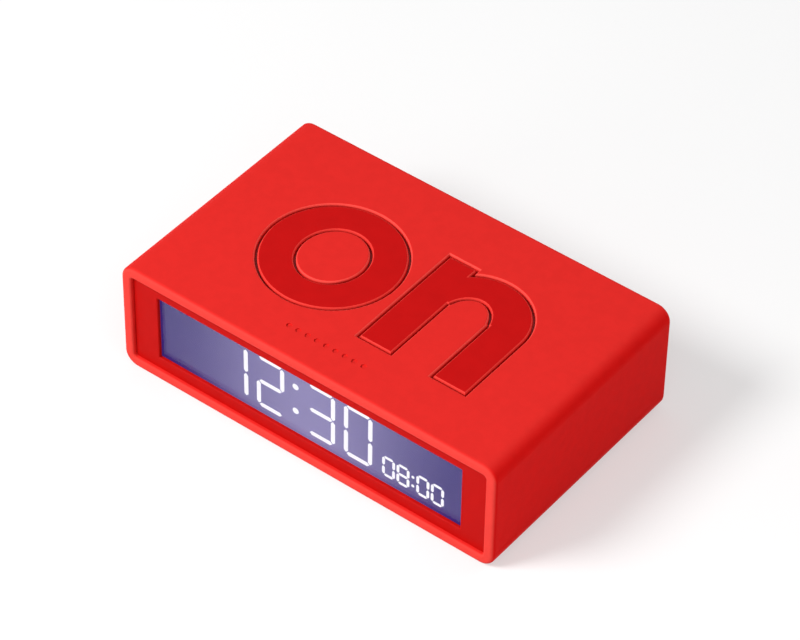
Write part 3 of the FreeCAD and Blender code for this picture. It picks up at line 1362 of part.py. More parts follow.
build()
os.makedirs("parts", exist_ok=True)
for name, shape in parts.items():
    for solid in shape.Solids:
        if not solid.isValid() or solid.Volume <= 0:
            print("check the shape of", name)
    shape.exportStep(os.path.join("parts", name + ".step"))
    print(name, len(shape.Solids), round(shape.Volume, 2))
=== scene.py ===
import json
import logging
import math
from collections.abc import Mapping
from dataclasses import dataclass
from enum import Enum
from typing import Any, ClassVar

import bmesh
import bpy
import numpy as np
from mathutils import Matrix, Vector

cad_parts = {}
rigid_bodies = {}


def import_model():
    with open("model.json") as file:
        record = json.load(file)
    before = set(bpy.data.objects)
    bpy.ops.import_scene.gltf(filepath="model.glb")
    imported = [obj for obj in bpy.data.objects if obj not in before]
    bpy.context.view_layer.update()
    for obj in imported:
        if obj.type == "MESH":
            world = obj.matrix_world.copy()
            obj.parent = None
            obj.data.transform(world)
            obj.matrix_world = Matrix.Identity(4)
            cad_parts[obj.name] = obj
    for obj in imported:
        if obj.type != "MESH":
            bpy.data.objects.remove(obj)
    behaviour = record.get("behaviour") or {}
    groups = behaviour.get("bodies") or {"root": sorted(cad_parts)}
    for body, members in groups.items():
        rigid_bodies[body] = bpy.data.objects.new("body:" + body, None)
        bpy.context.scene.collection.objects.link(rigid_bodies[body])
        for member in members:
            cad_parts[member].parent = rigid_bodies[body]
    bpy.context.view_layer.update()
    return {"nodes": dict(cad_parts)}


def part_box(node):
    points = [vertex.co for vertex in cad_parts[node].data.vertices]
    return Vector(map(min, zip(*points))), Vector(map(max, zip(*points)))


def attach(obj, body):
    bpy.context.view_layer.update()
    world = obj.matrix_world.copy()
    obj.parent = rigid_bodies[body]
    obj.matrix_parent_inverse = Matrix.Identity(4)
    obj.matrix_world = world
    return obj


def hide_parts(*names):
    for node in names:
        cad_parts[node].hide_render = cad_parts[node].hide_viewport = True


LOG = logging.getLogger("flip_clock")

Colour = tuple[float, float, float, float]

MM = 0.001
HALF_WIDTH = 52.5 * MM
HALF_DEPTH = 32.5 * MM
MID_HEIGHT = 15 * MM
SAME_POINT = 1e-7
NO_LENGTH = 1e-8
SHARP_EDGE = math.radians(50)
BEAD_STEP = 0.3
BEAD_STEPS = 8
BEAD_CAP_STEPS = 6
BEAD_ROUND = 12


class Source(Enum):
    """Where a finish's pattern reads its place from."""

    OBJECT = "Object"
    UV = "UV"


class Axis(Enum):
    """One of the three axes, by its place in a vector."""

    X = 0
    Y = 1
    Z = 2

    def vector(self) -> np.ndarray:
        """The unit vector along the axis."""
        return np.eye(3)[self.value]


def seen(red: int, green: int, blue: int) -> Colour:
    """A colour as a screen shows it, turned into the linear values that a shader uses.

    A share s of full brightness is s / 12.92 up to 0.04045, and ((s + 0.055) / 1.055)^2.4 above it.

    Args:
        red: Red from 0 to 255.
        green: Green from 0 to 255.
        blue: Blue from 0 to 255.

    Returns:
        The linear colour, with full opacity.
    """
    share = np.array((red, green, blue), float) / 255
    linear = np.where(share <= 0.04045, share / 12.92, ((share + 0.055) / 1.055) ** 2.4)
    return (*linear.tolist(), 1.0)


def dimmed(colour: Colour, share: float) -> Colour:
    """The colour with its brightness multiplied by share, and kept within 1."""
    return (*(min(1.0, part * share) for part in colour[:3]), 1.0)


class Tree:
    """The node tree of one material, with a short call for each step that the finishes share."""

    stretch: ClassVar[float] = 30.0

    def __init__(self, name: str, source: Source = Source.OBJECT) -> None:
        """Starts the tree.

        Args:
            name: The material's name.
            source: Where the patterns read their place from.
        """
        self.material = bpy.data.materials.new(name)
        self.material.use_nodes = True
        self.nodes = self.material.node_tree.nodes
        self.links = self.material.node_tree.links
        self.shader = self.nodes["Principled BSDF"]
        self.place = self.put("TexCoord", {}).outputs[source.value]

    def feed(self, socket: bpy.types.NodeSocket, value: Any) -> None:
        """Links a socket to another one, or sets it to a plain value.

        Args:
            socket: The input to fill.
            value: An output socket, a number, a colour or a vector.
        """
        if isinstance(value, bpy.types.NodeSocket):
            self.links.new(value, socket)
        else:
            socket.default_value = value

    def put(self, kind: str, inputs: Mapping[int | str, Any], **settings: Any) -> bpy.types.Node:
        """Adds a node.

        Args:
            kind: The node's type without its "ShaderNode".
            inputs: What each input gets, by name or number.
            **settings: The node's own settings.

        Returns:
            The new node.
        """
        node = self.nodes.new("ShaderNode" + kind)
        for key, value in settings.items():
            setattr(node, key, value)
        for key, value in inputs.items():
            self.feed(node.inputs[key], value)
        return node

    def finish(self, inputs: Mapping[str, Any]) -> None:
        """Fills the shader's inputs, each by its name."""
        for key, value in inputs.items():
            self.feed(self.shader.inputs[key], value)

    def noise(self, size: float, detail: float = 2.0, lay: Axis | None = None) -> bpy.types.NodeSocket:
        """Soft random spots.

        Args:
            size: The size of a spot in metres.
            detail: How many finer layers lie on the first.
            lay: The axis along which the spots are drawn out into streaks, by the factor stretch.

        Returns:
            The strength of the spots, about 0.5 on average.
        """
        scale = [1 / size] * 3
        if lay is not None:
            scale[lay.value] /= self.stretch
        place = self.put("Mapping", {"Vector": self.place, "Scale": scale}).outputs[0]
        return self.put("TexNoise", {"Vector": place, "Scale": 1.0, "Detail": detail}).outputs["Fac"]

    def stripes(self, pitch: float, axis: Axis) -> bpy.types.NodeSocket:
        """Even stripes that follow one another along an axis, as a wave from 0 to 1."""
        turns = self.calc("MULTIPLY", self.along(axis), math.tau / pitch)
        return self.calc("MULTIPLY_ADD", self.calc("SINE", turns), 0.5, 0.5)

    def along(self, axis: Axis) -> bpy.types.NodeSocket:
        """The place along one axis."""
        return self.put("SeparateXYZ", {0: self.place}).outputs[axis.value]

    def calc(self, operation: str, first: Any, second: Any = 0.0, third: Any = 0.0) -> bpy.types.NodeSocket:
        """One step of arithmetic, named as the Math node names it, on up to three numbers or sockets."""
        return self.put("Math", {0: first, 1: second, 2: third}, operation=operation).outputs[0]

    def off(self, axis: Axis, middle: float = 0.0) -> bpy.types.NodeSocket:
        """The distance from the plane that crosses an axis at middle, never below 0."""
        return self.calc("ABSOLUTE", self.calc("SUBTRACT", self.along(axis), middle))

    def within(self, value: Any, low: float, high: float) -> bpy.types.NodeSocket:
        """1 where a value lies between two others, and 0 elsewhere."""
        return self.calc("COMPARE", value, (low + high) / 2, (high - low) / 2)

    def around(self, pattern: Any, middle: float, reach: float) -> bpy.types.NodeSocket:
        """Spreads a pattern from reach below a middle value to reach above it."""
        return self.span(pattern, middle - reach, middle + reach)

    def scaled(self, colour: Any, factor: Any) -> bpy.types.NodeSocket:
        """A colour multiplied by a number."""
        return self.put("VectorMath", {0: colour, "Scale": factor}, operation="SCALE").outputs[0]

    def span(
        self, value: Any, low: float, high: float, start: float = 0.3, end: float = 0.7
    ) -> bpy.types.NodeSocket:
        """Spreads a value smoothly, so that start and what lies before it give low, and end gives high."""
        inputs = {"Value": value, "From Min": start, "From Max": end, "To Min": low, "To Max": high}
        return self.put("MapRange", inputs, interpolation_type="SMOOTHSTEP").outputs["Result"]

    def blend(self, share: Any, first: Any, second: Any) -> bpy.types.NodeSocket:
        """A colour between two others: the first at a share of 0, and the second at 1."""
        return self.put("Mix", {0: share, 6: first, 7: second}, data_type="RGBA").outputs[2]

    def relief(self, height: Any, depth: float) -> bpy.types.NodeSocket:
        """The normal of a bumpy surface. A height of 1 stands for a depth in metres."""
        return self.put("Bump", {"Height": height, "Distance": depth, "Strength": 1.0}).outputs["Normal"]


@dataclass(frozen=True)
class Finish:
    """A surface finish, with the name of the record's slot that it belongs to."""

    slot: str
    colour: Colour
    source: ClassVar[Source] = Source.OBJECT

    def material(self) -> bpy.types.Material:
        """The finish as a Blender material, made once.

        Returns:
            The material.
        """
        name = "finish_" + self.slot
        found = bpy.data.materials.get(name)
        if found is None:
            tree = Tree(name, self.source)
            tree.finish(self.inputs(tree))
            found = tree.material
        return found

    def inputs(self, tree: Tree) -> dict[str, Any]:
        """What the shader's inputs get. Each kind of finish has its own way.

        Args:
            tree: The tree to add nodes to.

        Returns:
            Values or sockets, by the inputs' names.
        """
        raise NotImplementedError


@dataclass(frozen=True, kw_only=True)
class Moulded(Finish):
    """Moulded plastic or rubber with a faint cloudiness and a fine moulded grain."""

    roughness: float = 0.5
    uneven: float = 0.04
    cloud: float = 4 * MM
    tint: float = 0.04
    grain: float = 0.3 * MM
    depth: float = 0.01 * MM
    gloss: float = 0.5

    def body(self, tree: Tree) -> Any:
        """The colour under the cloudiness, the same all over."""
        return self.colour[:3]

    def inputs(self, tree: Tree) -> dict[str, Any]:
        """Cloud noise tints the colour, and grain noise sets roughness and relief.

        Args:
            tree: The tree to add nodes to.

        Returns:
            Values or sockets, by the inputs' names.
        """
        cloud = tree.around(tree.noise(self.cloud, 4.0), 1.0, self.tint)
        grain = tree.noise(self.grain)
        return {
            "Base Color": tree.scaled(self.body(tree), cloud),
            "Roughness": tree.around(grain, self.roughness, self.uneven),
            "Normal": tree.relief(grain, self.depth),
            "Specular IOR Level": self.gloss,
        }


@dataclass(frozen=True, kw_only=True)
class EdgeHighlit(Moulded):
    """Moulded rubber or plastic, with a painted highlight where its edges round over beside the words'
    grooves.
    """

    # painted highlight: the paler colour on the roundings of the edges beside the grooves
    edge_highlight_colour: Colour
    edge_highlight_from: float = MID_HEIGHT - 0.6 * MM
    edge_highlight_to: float = MID_HEIGHT - 0.06 * MM

    def body(self, tree: Tree) -> Any:
        """The colour under the cloudiness, with a painted highlight on the edges."""
        return tree.blend(self.edge(tree), self.colour, self.edge_highlight_colour)

    def edge(self, tree: Tree) -> bpy.types.NodeSocket:
        """1 in a narrow range of distances from the slab's middle height, where the painted highlight goes,
        and 0 elsewhere.
        """
        return tree.within(tree.off(Axis.Z, MID_HEIGHT), self.edge_highlight_from, self.edge_highlight_to)


@dataclass(frozen=True, kw_only=True)
class Skin(EdgeHighlit):
    """Soft-touch rubber, also with painted shade as a deeper colour at the slab's two ends and a painted
    highlight along its lips.
    """

    # painted highlight: a paler red along the lips at the front and the back
    lip_highlight_colour: Colour
    # painted shade: a deeper red on both ends of the slab
    end_colour: Colour
    lip_highlight_from: float = HALF_DEPTH - 0.6 * MM
    lip_highlight_to: float = HALF_DEPTH - 0.1 * MM
    end_shade_from: float = HALF_WIDTH - 3 * MM
    end_shade_to: float = HALF_WIDTH - 0.1 * MM
    # flat_to and the words' span keep the edges' painted highlight to the pockets round the words
    flat_to: float = HALF_WIDTH - 4 * MM
    words_from: float = 10.1 * MM - HALF_DEPTH
    words_to: float = HALF_DEPTH - 1.1 * MM

    def body(self, tree: Tree) -> Any:
        """Blends in the painted highlight on the edges round the words, the painted shade at the ends along X
        and the painted highlight on the lips along Y.

        Args:
            tree: The tree to add the nodes to.

        Returns:
            The colour under the cloudiness.
        """
        aside, deep = tree.off(Axis.X), tree.off(Axis.Y)
        words = tree.within(tree.along(Axis.Y), self.words_from, self.words_to)
        flat = tree.calc("MULTIPLY", tree.calc("LESS_THAN", aside, self.flat_to), words)
        # painted highlight on the roundings of the pockets round the words
        edge = tree.calc("MULTIPLY", self.edge(tree), flat)
        # painted shade: deeper red towards both ends along X
        end = tree.span(aside, 0.0, 1.0, self.end_shade_from, self.end_shade_to)
        # painted highlight: paler red along the lips on Y
        lip = tree.span(deep, 0.0, 1.0, self.lip_highlight_from, self.lip_highlight_to)
        with_edge_highlight = tree.blend(edge, self.colour, self.edge_highlight_colour)
        return tree.blend(lip, tree.blend(end, with_edge_highlight, self.end_colour), self.lip_highlight_colour)


@dataclass(frozen=True, kw_only=True)
class Metal(Finish):
    """Plated, rolled or drawn metal, with fine streaks along one axis and a faint bloom."""

    roughness: float = 0.3
    uneven: float = 0.08
    streak: float = 0.08 * MM
    lay: Axis = Axis.X
    depth: float = 0.001 * MM
    spot: float = 1.5 * MM
    bloom: float = 0.15

    def inputs(self, tree: Tree) -> dict[str, Any]:
        """Streak noise sets roughness and relief, and a coarse bloom darkens spots.

        Args:
            tree: The tree to add nodes to.

        Returns:
            Values or sockets, by the inputs' names.
        """
        streaks = tree.noise(self.streak, 2.0, self.lay)
        bloom = tree.span(tree.noise(self.spot, 3.0), 0.0, 1.0)
        return {
            "Base Color": tree.blend(bloom, self.colour, dimmed(self.colour, 1 - self.bloom)),
            "Metallic": 1.0,
            "Roughness": tree.around(streaks, self.roughness, self.uneven),
            "Normal": tree.relief(streaks, self.depth),
        }


@dataclass(frozen=True, kw_only=True)
class Clear(Finish):
    """Clear plastic with the faintest smudges."""

    roughness: float = 0.01
    smudge: float = 0.02
    smudge_size: float = 6 * MM
    mirror: float = 1.0
    ior: float = 1.49

    def inputs(self, tree: Tree) -> dict[str, Any]:
        """Smudge noise adds roughness, and a mirror below 1 dims the reflections.

        Args:
            tree: The tree to add nodes to.

        Returns:
            Values or sockets, by the inputs' names.
        """
        smudges = tree.noise(self.smudge_size, 3.0)
        return {
            "Base Color": self.colour,
            "Transmission Weight": 1.0,
            "IOR": self.ior,
            "Specular Tint": (self.mirror, self.mirror, self.mirror, 1.0),
            "Roughness": tree.span(smudges, self.roughness, self.roughness + self.smudge),
        }


@dataclass(frozen=True, kw_only=True)
class Glow(Finish):
    """A lit panel whose light falls off from its middle to its ends, with a faint cloudiness."""

    end_colour: Colour
    half_length: float = 43 * MM
    cloud: float = 9 * MM
    tint: float = 0.02
    roughness: float = 0.3
    unlit: float = 0.2

    def inputs(self, tree: Tree) -> dict[str, Any]:
        """The distance from the middle along X blends the light's two colours.

        Args:
            tree: The tree to add nodes to.

        Returns:
            Values or sockets, by the inputs' names.
        """
        fall = tree.span(tree.off(Axis.X), 0.0, 1.0, 0.0, self.half_length)
        cloud = tree.around(tree.noise(self.cloud, 1.0), 1.0, self.tint)
        return {
            "Base Color": dimmed(self.end_colour, self.unlit),
            "Roughness": self.roughness,
            "Specular IOR Level": 0.0,
            "Emission Color": tree.scaled(tree.blend(fall, self.colour, self.end_colour), cloud),
            "Emission Strength": 1.0,
        }


@dataclass(frozen=True, kw_only=True)
class Lit(Finish):
    """A small lit part, slightly uneven."""

    strength: float
    roughness: float = 0.4
    grain: float = 0.6 * MM
    uneven: float = 0.04
    unlit: float = 0.1

    def inputs(self, tree: Tree) -> dict[str, Any]:
        """Fine noise varies the light by a few percent.

        Args:
            tree: The tree to add nodes to.

        Returns:
            Values or sockets, by the inputs' names.
        """
        spots = tree.span(tree.noise(self.grain), 0.0, 1.0)
        return {
            "Base Color": dimmed(self.colour, self.unlit),
            "Roughness": self.roughness,
            "Emission Color": tree.blend(spots, dimmed(self.colour, 1 - self.uneven), self.colour),
            "Emission Strength": self.strength,
        }


@dataclass(frozen=True, kw_only=True)
class Striped(Finish):
    """Layers of two colours that follow one another along X, such as conductive and plain rubber."""

    other: Colour
    pitch: float
    blur: float = 0.1
    roughness: float = 0.6
    uneven: float = 0.05
    grain: float = 0.3 * MM
    ridge: float = 0.02 * MM

    def inputs(self, tree: Tree) -> dict[str, Any]:
        """A sine wave along X blends the two colours and raises ridges.

        Args:
            tree: The tree to add nodes to.

        Returns:
            Values or sockets, by the inputs' names.
        """
        wave = tree.stripes(self.pitch, Axis.X)
        layers = tree.span(wave, 0.0, 1.0, 0.5 - self.blur, 0.5 + self.blur)
        return {
            "Base Color": tree.blend(layers, self.colour, self.other),
            "Roughness": tree.around(tree.noise(self.grain), self.roughness, self.uneven),
            "Normal": tree.relief(wave, self.ridge),
        }


@dataclass(frozen=True, kw_only=True)
class Masked(Finish):
    """A circuit board's lacquer over its tracks."""

    track: Colour
    pitch: float = 1.27 * MM
    track_from: float = 0.55
    track_to: float = 0.7
    track_height: float = 0.03 * MM
    patch: float = 9 * MM
    roughness: float = 0.315
    uneven: float = 0.065
    grain: float = 0.5 * MM
    coat: float = 0.4

    def inputs(self, tree: Tree) -> dict[str, Any]:
        """Stripes along X or Z, chosen patch by patch, stand a little proud as tracks.

        Args:
            tree: The tree to add nodes to.

        Returns:
            Values or sockets, by the inputs' names.
        """
        place = tree.put("Mapping", {"Vector": tree.place, "Scale": [1 / self.patch] * 3}).outputs[0]
        patches = tree.put("TexVoronoi", {"Vector": place, "Scale": 1.0}, distance="MANHATTAN")
        shade = tree.put("SeparateColor", {0: patches.outputs["Color"]}).outputs[0]
        turn = tree.calc("GREATER_THAN", shade, 0.5)
        flat, upright = tree.stripes(self.pitch, Axis.Z), tree.stripes(self.pitch, Axis.X)
        lines = tree.put("Mix", {0: turn, 2: flat, 3: upright}).outputs[0]
        tracks = tree.span(lines, 0.0, 1.0, self.track_from, self.track_to)
        return {
            "Base Color": tree.blend(tracks, self.colour, self.track),
            "Roughness": tree.around(tree.noise(self.grain), self.roughness, self.uneven),
            "Normal": tree.relief(tracks, self.track_height),
            "Coat Weight": self.coat,
        }


@dataclass(frozen=True, kw_only=True)
class Sleeve(Finish):
    """A battery's shrunk sleeve: a plain body with a band at its plus end and a thin line beside it.

    All its sizes but the depth are shares of its map, which runs out along the cell and back inside.
    """

    source: ClassVar[Source] = Source.UV
    band: Colour
    line: Colour
    band_to: float = 0.13
    band_blur: float = 0.002
    line_after: float = 0.02
    line_half: float = 0.006
    line_blur: float = 0.003
    wobble: float = 0.004
    wobble_size: float = 0.2
    roughness: float = 0.21
    uneven: float = 0.05
    smudge_size: float = 0.05
    wrinkle_size: float = 0.03
    depth: float = 0.004 * MM
    coat: float = 0.5

    def inputs(self, tree: Tree) -> dict[str, Any]:
        """The share along the sleeve picks band, line or body.

        Args:
            tree: The tree to add nodes to.

        Returns:
            Values or sockets, by the inputs' names.
        """
        share = tree.calc("MULTIPLY_ADD", tree.noise(self.wobble_size), self.wobble, tree.along(Axis.Y))
        band = tree.span(share, 0.0, 1.0, self.band_to + self.band_blur, self.band_to - self.band_blur)
        off_line = tree.calc("ABSOLUTE", tree.calc("SUBTRACT", share, self.band_to + self.line_after))
        line = tree.span(off_line, 1.0, 0.0, self.line_half, self.line_half + self.line_blur)
        smudges = tree.noise(self.smudge_size, 3.0)
        return {
            "Base Color": tree.blend(line, tree.blend(band, self.colour, self.band), self.line),
            "Roughness": tree.around(smudges, self.roughness, self.uneven),
            "Normal": tree.relief(tree.noise(self.wrinkle_size), self.depth),
            "Coat Weight": self.coat,
        }


# The skin's own red, with painted highlights on its pocket edges and lips and painted shade at its two ends.
SOFT_RED = Skin(
    "soft_red",
    seen(223, 43, 39),
    roughness=0.45,
    cloud=2.4 * MM,
    tint=0.022,
    grain=0.35 * MM,
    depth=0.008 * MM,
    gloss=0.02,
    edge_highlight_colour=seen(244, 78, 70),
    lip_highlight_colour=seen(232, 65, 58),
    end_colour=seen(228, 17, 15),
)
# The letters' own red, with a painted highlight on the roundings of their edges.
LETTER_RED = EdgeHighlit(
    "letter_red",
    seen(194, 17, 17),
    roughness=0.4,
    cloud=5 * MM,
    tint=0.03,
    grain=0.25 * MM,
    depth=0.004 * MM,
    gloss=0.03,
    edge_highlight_colour=seen(232, 62, 55),
    edge_highlight_from=MID_HEIGHT - 0.7 * MM,
    edge_highlight_to=MID_HEIGHT - 0.14 * MM,
)
CHASSIS_RED = Moulded("chassis_red", seen(170, 22, 22), roughness=0.55)
PANEL_RED = Moulded(
    "panel_red",
    seen(187, 12, 9),
    roughness=0.42,
    cloud=5 * MM,
    tint=0.03,
    grain=0.25 * MM,
    depth=0.008 * MM,
    gloss=0.04,
)
BUTTON_RED = Moulded(
    "button_red",
    seen(222, 38, 33),
    roughness=0.42,
    cloud=2 * MM,
    tint=0.03,
    grain=0.25 * MM,
    depth=0.006 * MM,
    gloss=0.08,
)
HOLDER_WHITE = Moulded("holder_white", seen(226, 226, 222))
SHEET_WHITE = Moulded(
    "sheet_white",
    seen(242, 242, 242),
    roughness=0.35,
    cloud=6 * MM,
    tint=0.01,
    grain=0.2 * MM,
    depth=0.002 * MM,
)
RESIN_BLACK = Moulded(
    "resin_black",
    seen(26, 26, 28),
    roughness=0.35,
    cloud=1.5 * MM,
    tint=0.12,
    grain=0.4 * MM,
    depth=0.02 * MM,
)
CERAMIC_WHITE = Moulded(
    "ceramic_white",
    seen(231, 226, 214),
    roughness=0.45,
    cloud=1 * MM,
    tint=0.03,
    grain=0.1 * MM,
    depth=0.003 * MM,
)
TRAY_BLACK = Moulded(
    "tray_black", seen(38, 38, 40), roughness=0.55, tint=0.06, grain=0.25 * MM, depth=0.012 * MM
)
LEAD_RED = Moulded(
    "lead_red", seen(196, 24, 22), roughness=0.4, cloud=1 * MM, tint=0.05, depth=0.004 * MM
)
LEAD_BLACK = Moulded(
    "lead_black", seen(28, 28, 30), roughness=0.4, cloud=1 * MM, tint=0.08, depth=0.004 * MM
)
CLEAR_ACRYLIC = Clear("clear_acrylic", seen(252, 252, 254), mirror=0.05)
GUIDE_CLEAR = Clear("guide_clear", seen(244, 246, 250), roughness=0.25, smudge=0.1)
LCD_VIOLET = Glow("lcd_violet", seen(135, 127, 173), end_colour=seen(50, 38, 112))
SEGMENT_WHITE = Lit("segment_white", seen(250, 248, 255), strength=0.95)
LAMP_WHITE = Lit("lamp_white", seen(255, 250, 228), strength=0.8, roughness=0.2)
STRIP_RUBBER = Striped("strip_rubber", seen(40, 40, 44), other=seen(188, 188, 186), pitch=0.4 * MM)
RIBBON_GREY = Striped(
    "ribbon_grey",
    seen(176, 178, 182),
    other=seen(150, 152, 157),
    pitch=1 * MM,
    roughness=0.45,
    ridge=0.12 * MM,
)
BOARD_GREEN = Masked("board_green", seen(14, 84, 44), track=seen(30, 118, 62))
CELL_WRAP = Sleeve("cell_wrap", seen(38, 74, 128), band=seen(206, 208, 212), line=seen(225, 228, 232))
CAN_METAL = Metal("can_metal", seen(212, 212, 214), lay=Axis.Z)
BALL_STEEL = Metal("ball_steel", seen(205, 207, 211), roughness=0.12)
COPPER_FOIL = Metal("copper_foil", seen(214, 152, 112), roughness=0.32)
SPRING_METAL = Metal("spring_metal", seen(205, 203, 198), roughness=0.28, lay=Axis.Z)
BRASS_PLATE = Metal("brass_plate", seen(211, 178, 104), roughness=0.34)
SWITCH_METAL = Metal("switch_metal", seen(188, 190, 194), roughness=0.35)
SCREW_STEEL = Metal("screw_steel", seen(182, 184, 188), roughness=0.32, lay=Axis.Z)


def linked(name: str, data: bpy.types.ID) -> bpy.types.Object:
    """A new object in the scene, at the origin, with the given data."""
    made = bpy.data.objects.new(name, data)
    bpy.context.scene.collection.objects.link(made)
    return made


def surface(name: str, points: np.ndarray, loop: bool = False) -> bpy.types.Object:
    """A mesh from a grid of points whose columns run round a closed profile.

    Point (i, j) is step i along a path and step j round the profile. Face (i, j) joins it to the next step
    both ways, the last column to the first one, and with loop the last row to the first one too. Rows and
    columns that shrink to a point are merged, and the faces are turned outwards. The map runs from 0 to 1
    round the profile, and from 0 to 1 along the path by its mean length.

    Args:
        name: The piece's name.
        points: The places, rows by columns by 3, in metres.
        loop: Whether the path closes on itself.

    Returns:
        The object, at the origin.
    """
    rows, columns, _ = points.shape
    steps = rows if loop else rows - 1
    i, j = np.meshgrid(np.arange(steps), np.arange(columns), indexing="ij")
    corners_i = np.stack((i, i, i + 1, i + 1), axis=-1)
    corners_j = np.stack((j, j + 1, j + 1, j), axis=-1)
    quads = (corners_i % rows) * columns + corners_j % columns
    mesh = bpy.data.meshes.new(name)
    mesh.from_pydata(points.reshape(-1, 3).tolist(), [], quads.reshape(-1, 4).tolist())
    ahead = points[np.arange(1, steps + 1) % rows]
    strides = np.linalg.norm(ahead - points[:steps], axis=2).mean(axis=1)
    along = np.concatenate(([0.0], np.cumsum(strides))) / strides.sum()
    chart = np.stack((corners_j / columns, along[corners_i]), axis=-1)
    mesh.uv_layers.new(name="map").data.foreach_set("uv", chart.astype(np.float32).ravel())
    shell = bmesh.new()
    shell.from_mesh(mesh)
    bmesh.ops.remove_doubles(shell, verts=shell.verts, dist=SAME_POINT)
    bmesh.ops.dissolve_degenerate(shell, dist=NO_LENGTH, edges=shell.edges)
    bmesh.ops.recalc_face_normals(shell, faces=shell.faces)
    shell.to_mesh(mesh)
    shell.free()
    mesh.polygons.foreach_set("use_smooth", np.ones(len(mesh.polygons), bool))
    mesh.set_sharp_from_angle(angle=SHARP_EDGE)
    return linked(name, mesh)


def merged(name: str, members: list[bpy.types.Object]) -> bpy.types.Object:
    """Several finished meshes as one piece.

    Args:
        name: The piece's name.
        members: The objects to join, which are used up.

    Returns:
        The one object.
    """
    pile = bmesh.new()
    for member in members:
        pile.from_mesh(member.data)
        bpy.data.objects.remove(member)
    mesh = bpy.data.meshes.new(name)
    pile.to_mesh(mesh)
    pile.free()
    mesh.set_sharp_from_angle(angle=SHARP_EDGE)
    return linked(name, mesh)


def revolved(profile: np.ndarray, base: np.ndarray, axis: Axis, count: int) -> np.ndarray:
    """The grid of a profile turned round an axis.

    A profile point (a, r) lies a along the axis and r away from it, at
    base + a * axis + r * (cos t * u + sin t * v) for the angle t from 0 to a full turn.

    Args:
        profile: The points (a, r), in metres.
        base: The place that a is measured from.
        axis: The axis.
        count: The number of steps round.

    Returns:
        The grid of places.
    """
    along, u, v = (np.roll(np.eye(3), -axis.value, axis=0)[k] for k in range(3))
    turn = np.linspace(0, math.tau, count, endpoint=False)
    ring = np.cos(turn)[:, None] * u + np.sin(turn)[:, None] * v
    return base + profile[:, :1, None] * along + profile[:, 1:, None] * ring


def rounded(corners: np.ndarray, radius: float, steps: int = 5) -> np.ndarray:
    """A run of straight lines with its inner corners rounded.

    At each inner corner the line leaves its run at the radius from the corner and follows the curve
    (1 - t)^2 * start + 2 * t * (1 - t) * corner + t^2 * end.

    Args:
        corners: The corners, in any number of dimensions.
        radius: How far from the corner the curve starts and ends.
        steps: The number of points on each curve.

    Returns:
        The points of the rounded line.
    """
    inner, before, after = corners[1:-1], corners[:-2], corners[2:]
    start = inner + radius * (before - inner) / np.linalg.norm(before - inner, axis=1, keepdims=True)
    end = inner + radius * (after - inner) / np.linalg.norm(after - inner, axis=1, keepdims=True)
    t = np.linspace(0, 1, steps)[None, :, None]
    curves = (1 - t) ** 2 * start[:, None] + 2 * t * (1 - t) * inner[:, None] + t**2 * end[:, None]
    return np.vstack((corners[:1], curves.reshape(-1, corners.shape[1]), corners[-1:]))


def bead(path: np.ndarray, width: float, height: float, up: np.ndarray, loop: bool = False) -> np.ndarray:
    """The grid of a rounded bead carried along a path.

    The path is first divided evenly by its length, and closer at its ends. The profile is an ellipse with
    the given width and height: centre + cos t * width / 2 * side + sin t * height * rise, where side stands
    square to the path and to up, and rise square to the path and to side. On an open path, both are
    multiplied by sqrt(1 - e^2), where e runs from 0 to 1 over the last half width.

    Args:
        path: The points of the line, in metres.
        width: The bead's width.
        height: How far the bead stands above and below the line.
        up: The direction that height is measured in.
        loop: Whether the path closes on itself.

    Returns:
        The grid of places.
    """
    line = np.vstack((path, path[:1])) if loop else path
    lengths = np.concatenate(([0.0], np.cumsum(np.linalg.norm(np.diff(line, axis=0), axis=1))))
    whole, end = lengths[-1], width / 2
    count = max(BEAD_STEPS, int(whole / (width * BEAD_STEP)))
    if loop:
        at, scale = np.linspace(0, whole, count, endpoint=False), np.ones(count)
    else:
        cap = end * (1 - np.cos(np.linspace(0, math.pi / 2, BEAD_CAP_STEPS)))
        at = np.concatenate((cap, np.linspace(end, whole - end, count)[1:-1], whole - cap[::-1]))
        into = np.clip(np.minimum(at, whole - at) / end, 0, 1)
        scale = np.sqrt(1 - (1 - into) ** 2)
    centre, ahead, behind = (
        np.stack([np.interp(where, lengths, line[:, k]) for k in range(3)], axis=1)
        for where in (at, at + end / 4, at - end / 4)
    )
    side = np.cross(ahead - behind, up)
    side /= np.linalg.norm(side, axis=1, keepdims=True)
    rise = np.cross(side, ahead - behind)
    rise /= np.linalg.norm(rise, axis=1, keepdims=True)
    turn = np.linspace(0, math.tau, BEAD_ROUND, endpoint=False)
    across = (np.cos(turn) * width / 2)[None, :, None] * side[:, None]
    above = (np.sin(turn) * height)[None, :, None] * rise[:, None]
    return centre[:, None] + scale[:, None, None] * (across + above)


@dataclass
class SubAssembly:
    """A group of the clock's pieces that are built and dressed together."""

    nodes: dict[str, bpy.types.Object]
    finishes: ClassVar[dict[str, Finish]] = {}
    body: ClassVar[str] = "case"

    def build(self) -> list[bpy.types.Object]:
        """Builds the group's new pieces. A group of CAD nodes alone has none."""
        return []

    def dress(self) -> None:
        """Gives each of the group's CAD nodes its finish."""
        for name, finish in self.finishes.items():
            materials = self.nodes[name].data.materials
            materials.clear()
            materials.append(finish.material())

    def settled(
        self, piece: bpy.types.Object, finish: Finish, *stands_for: str, body: str | None = None
    ) -> bpy.types.Object:
        """Gives a new piece its finish and the body that it moves with.

        Args:
            piece: The new piece.
            finish: Its finish.
            *stands_for: The CAD nodes that it replaces.
            body: The body that it rides on, if not the group's own.

        Returns:
            The same piece.
        """
        piece.data.materials.clear()
        piece.data.materials.append(finish.material())
        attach(piece, body or self.body)
        if stands_for:
            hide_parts(*stands_for)
        return piece


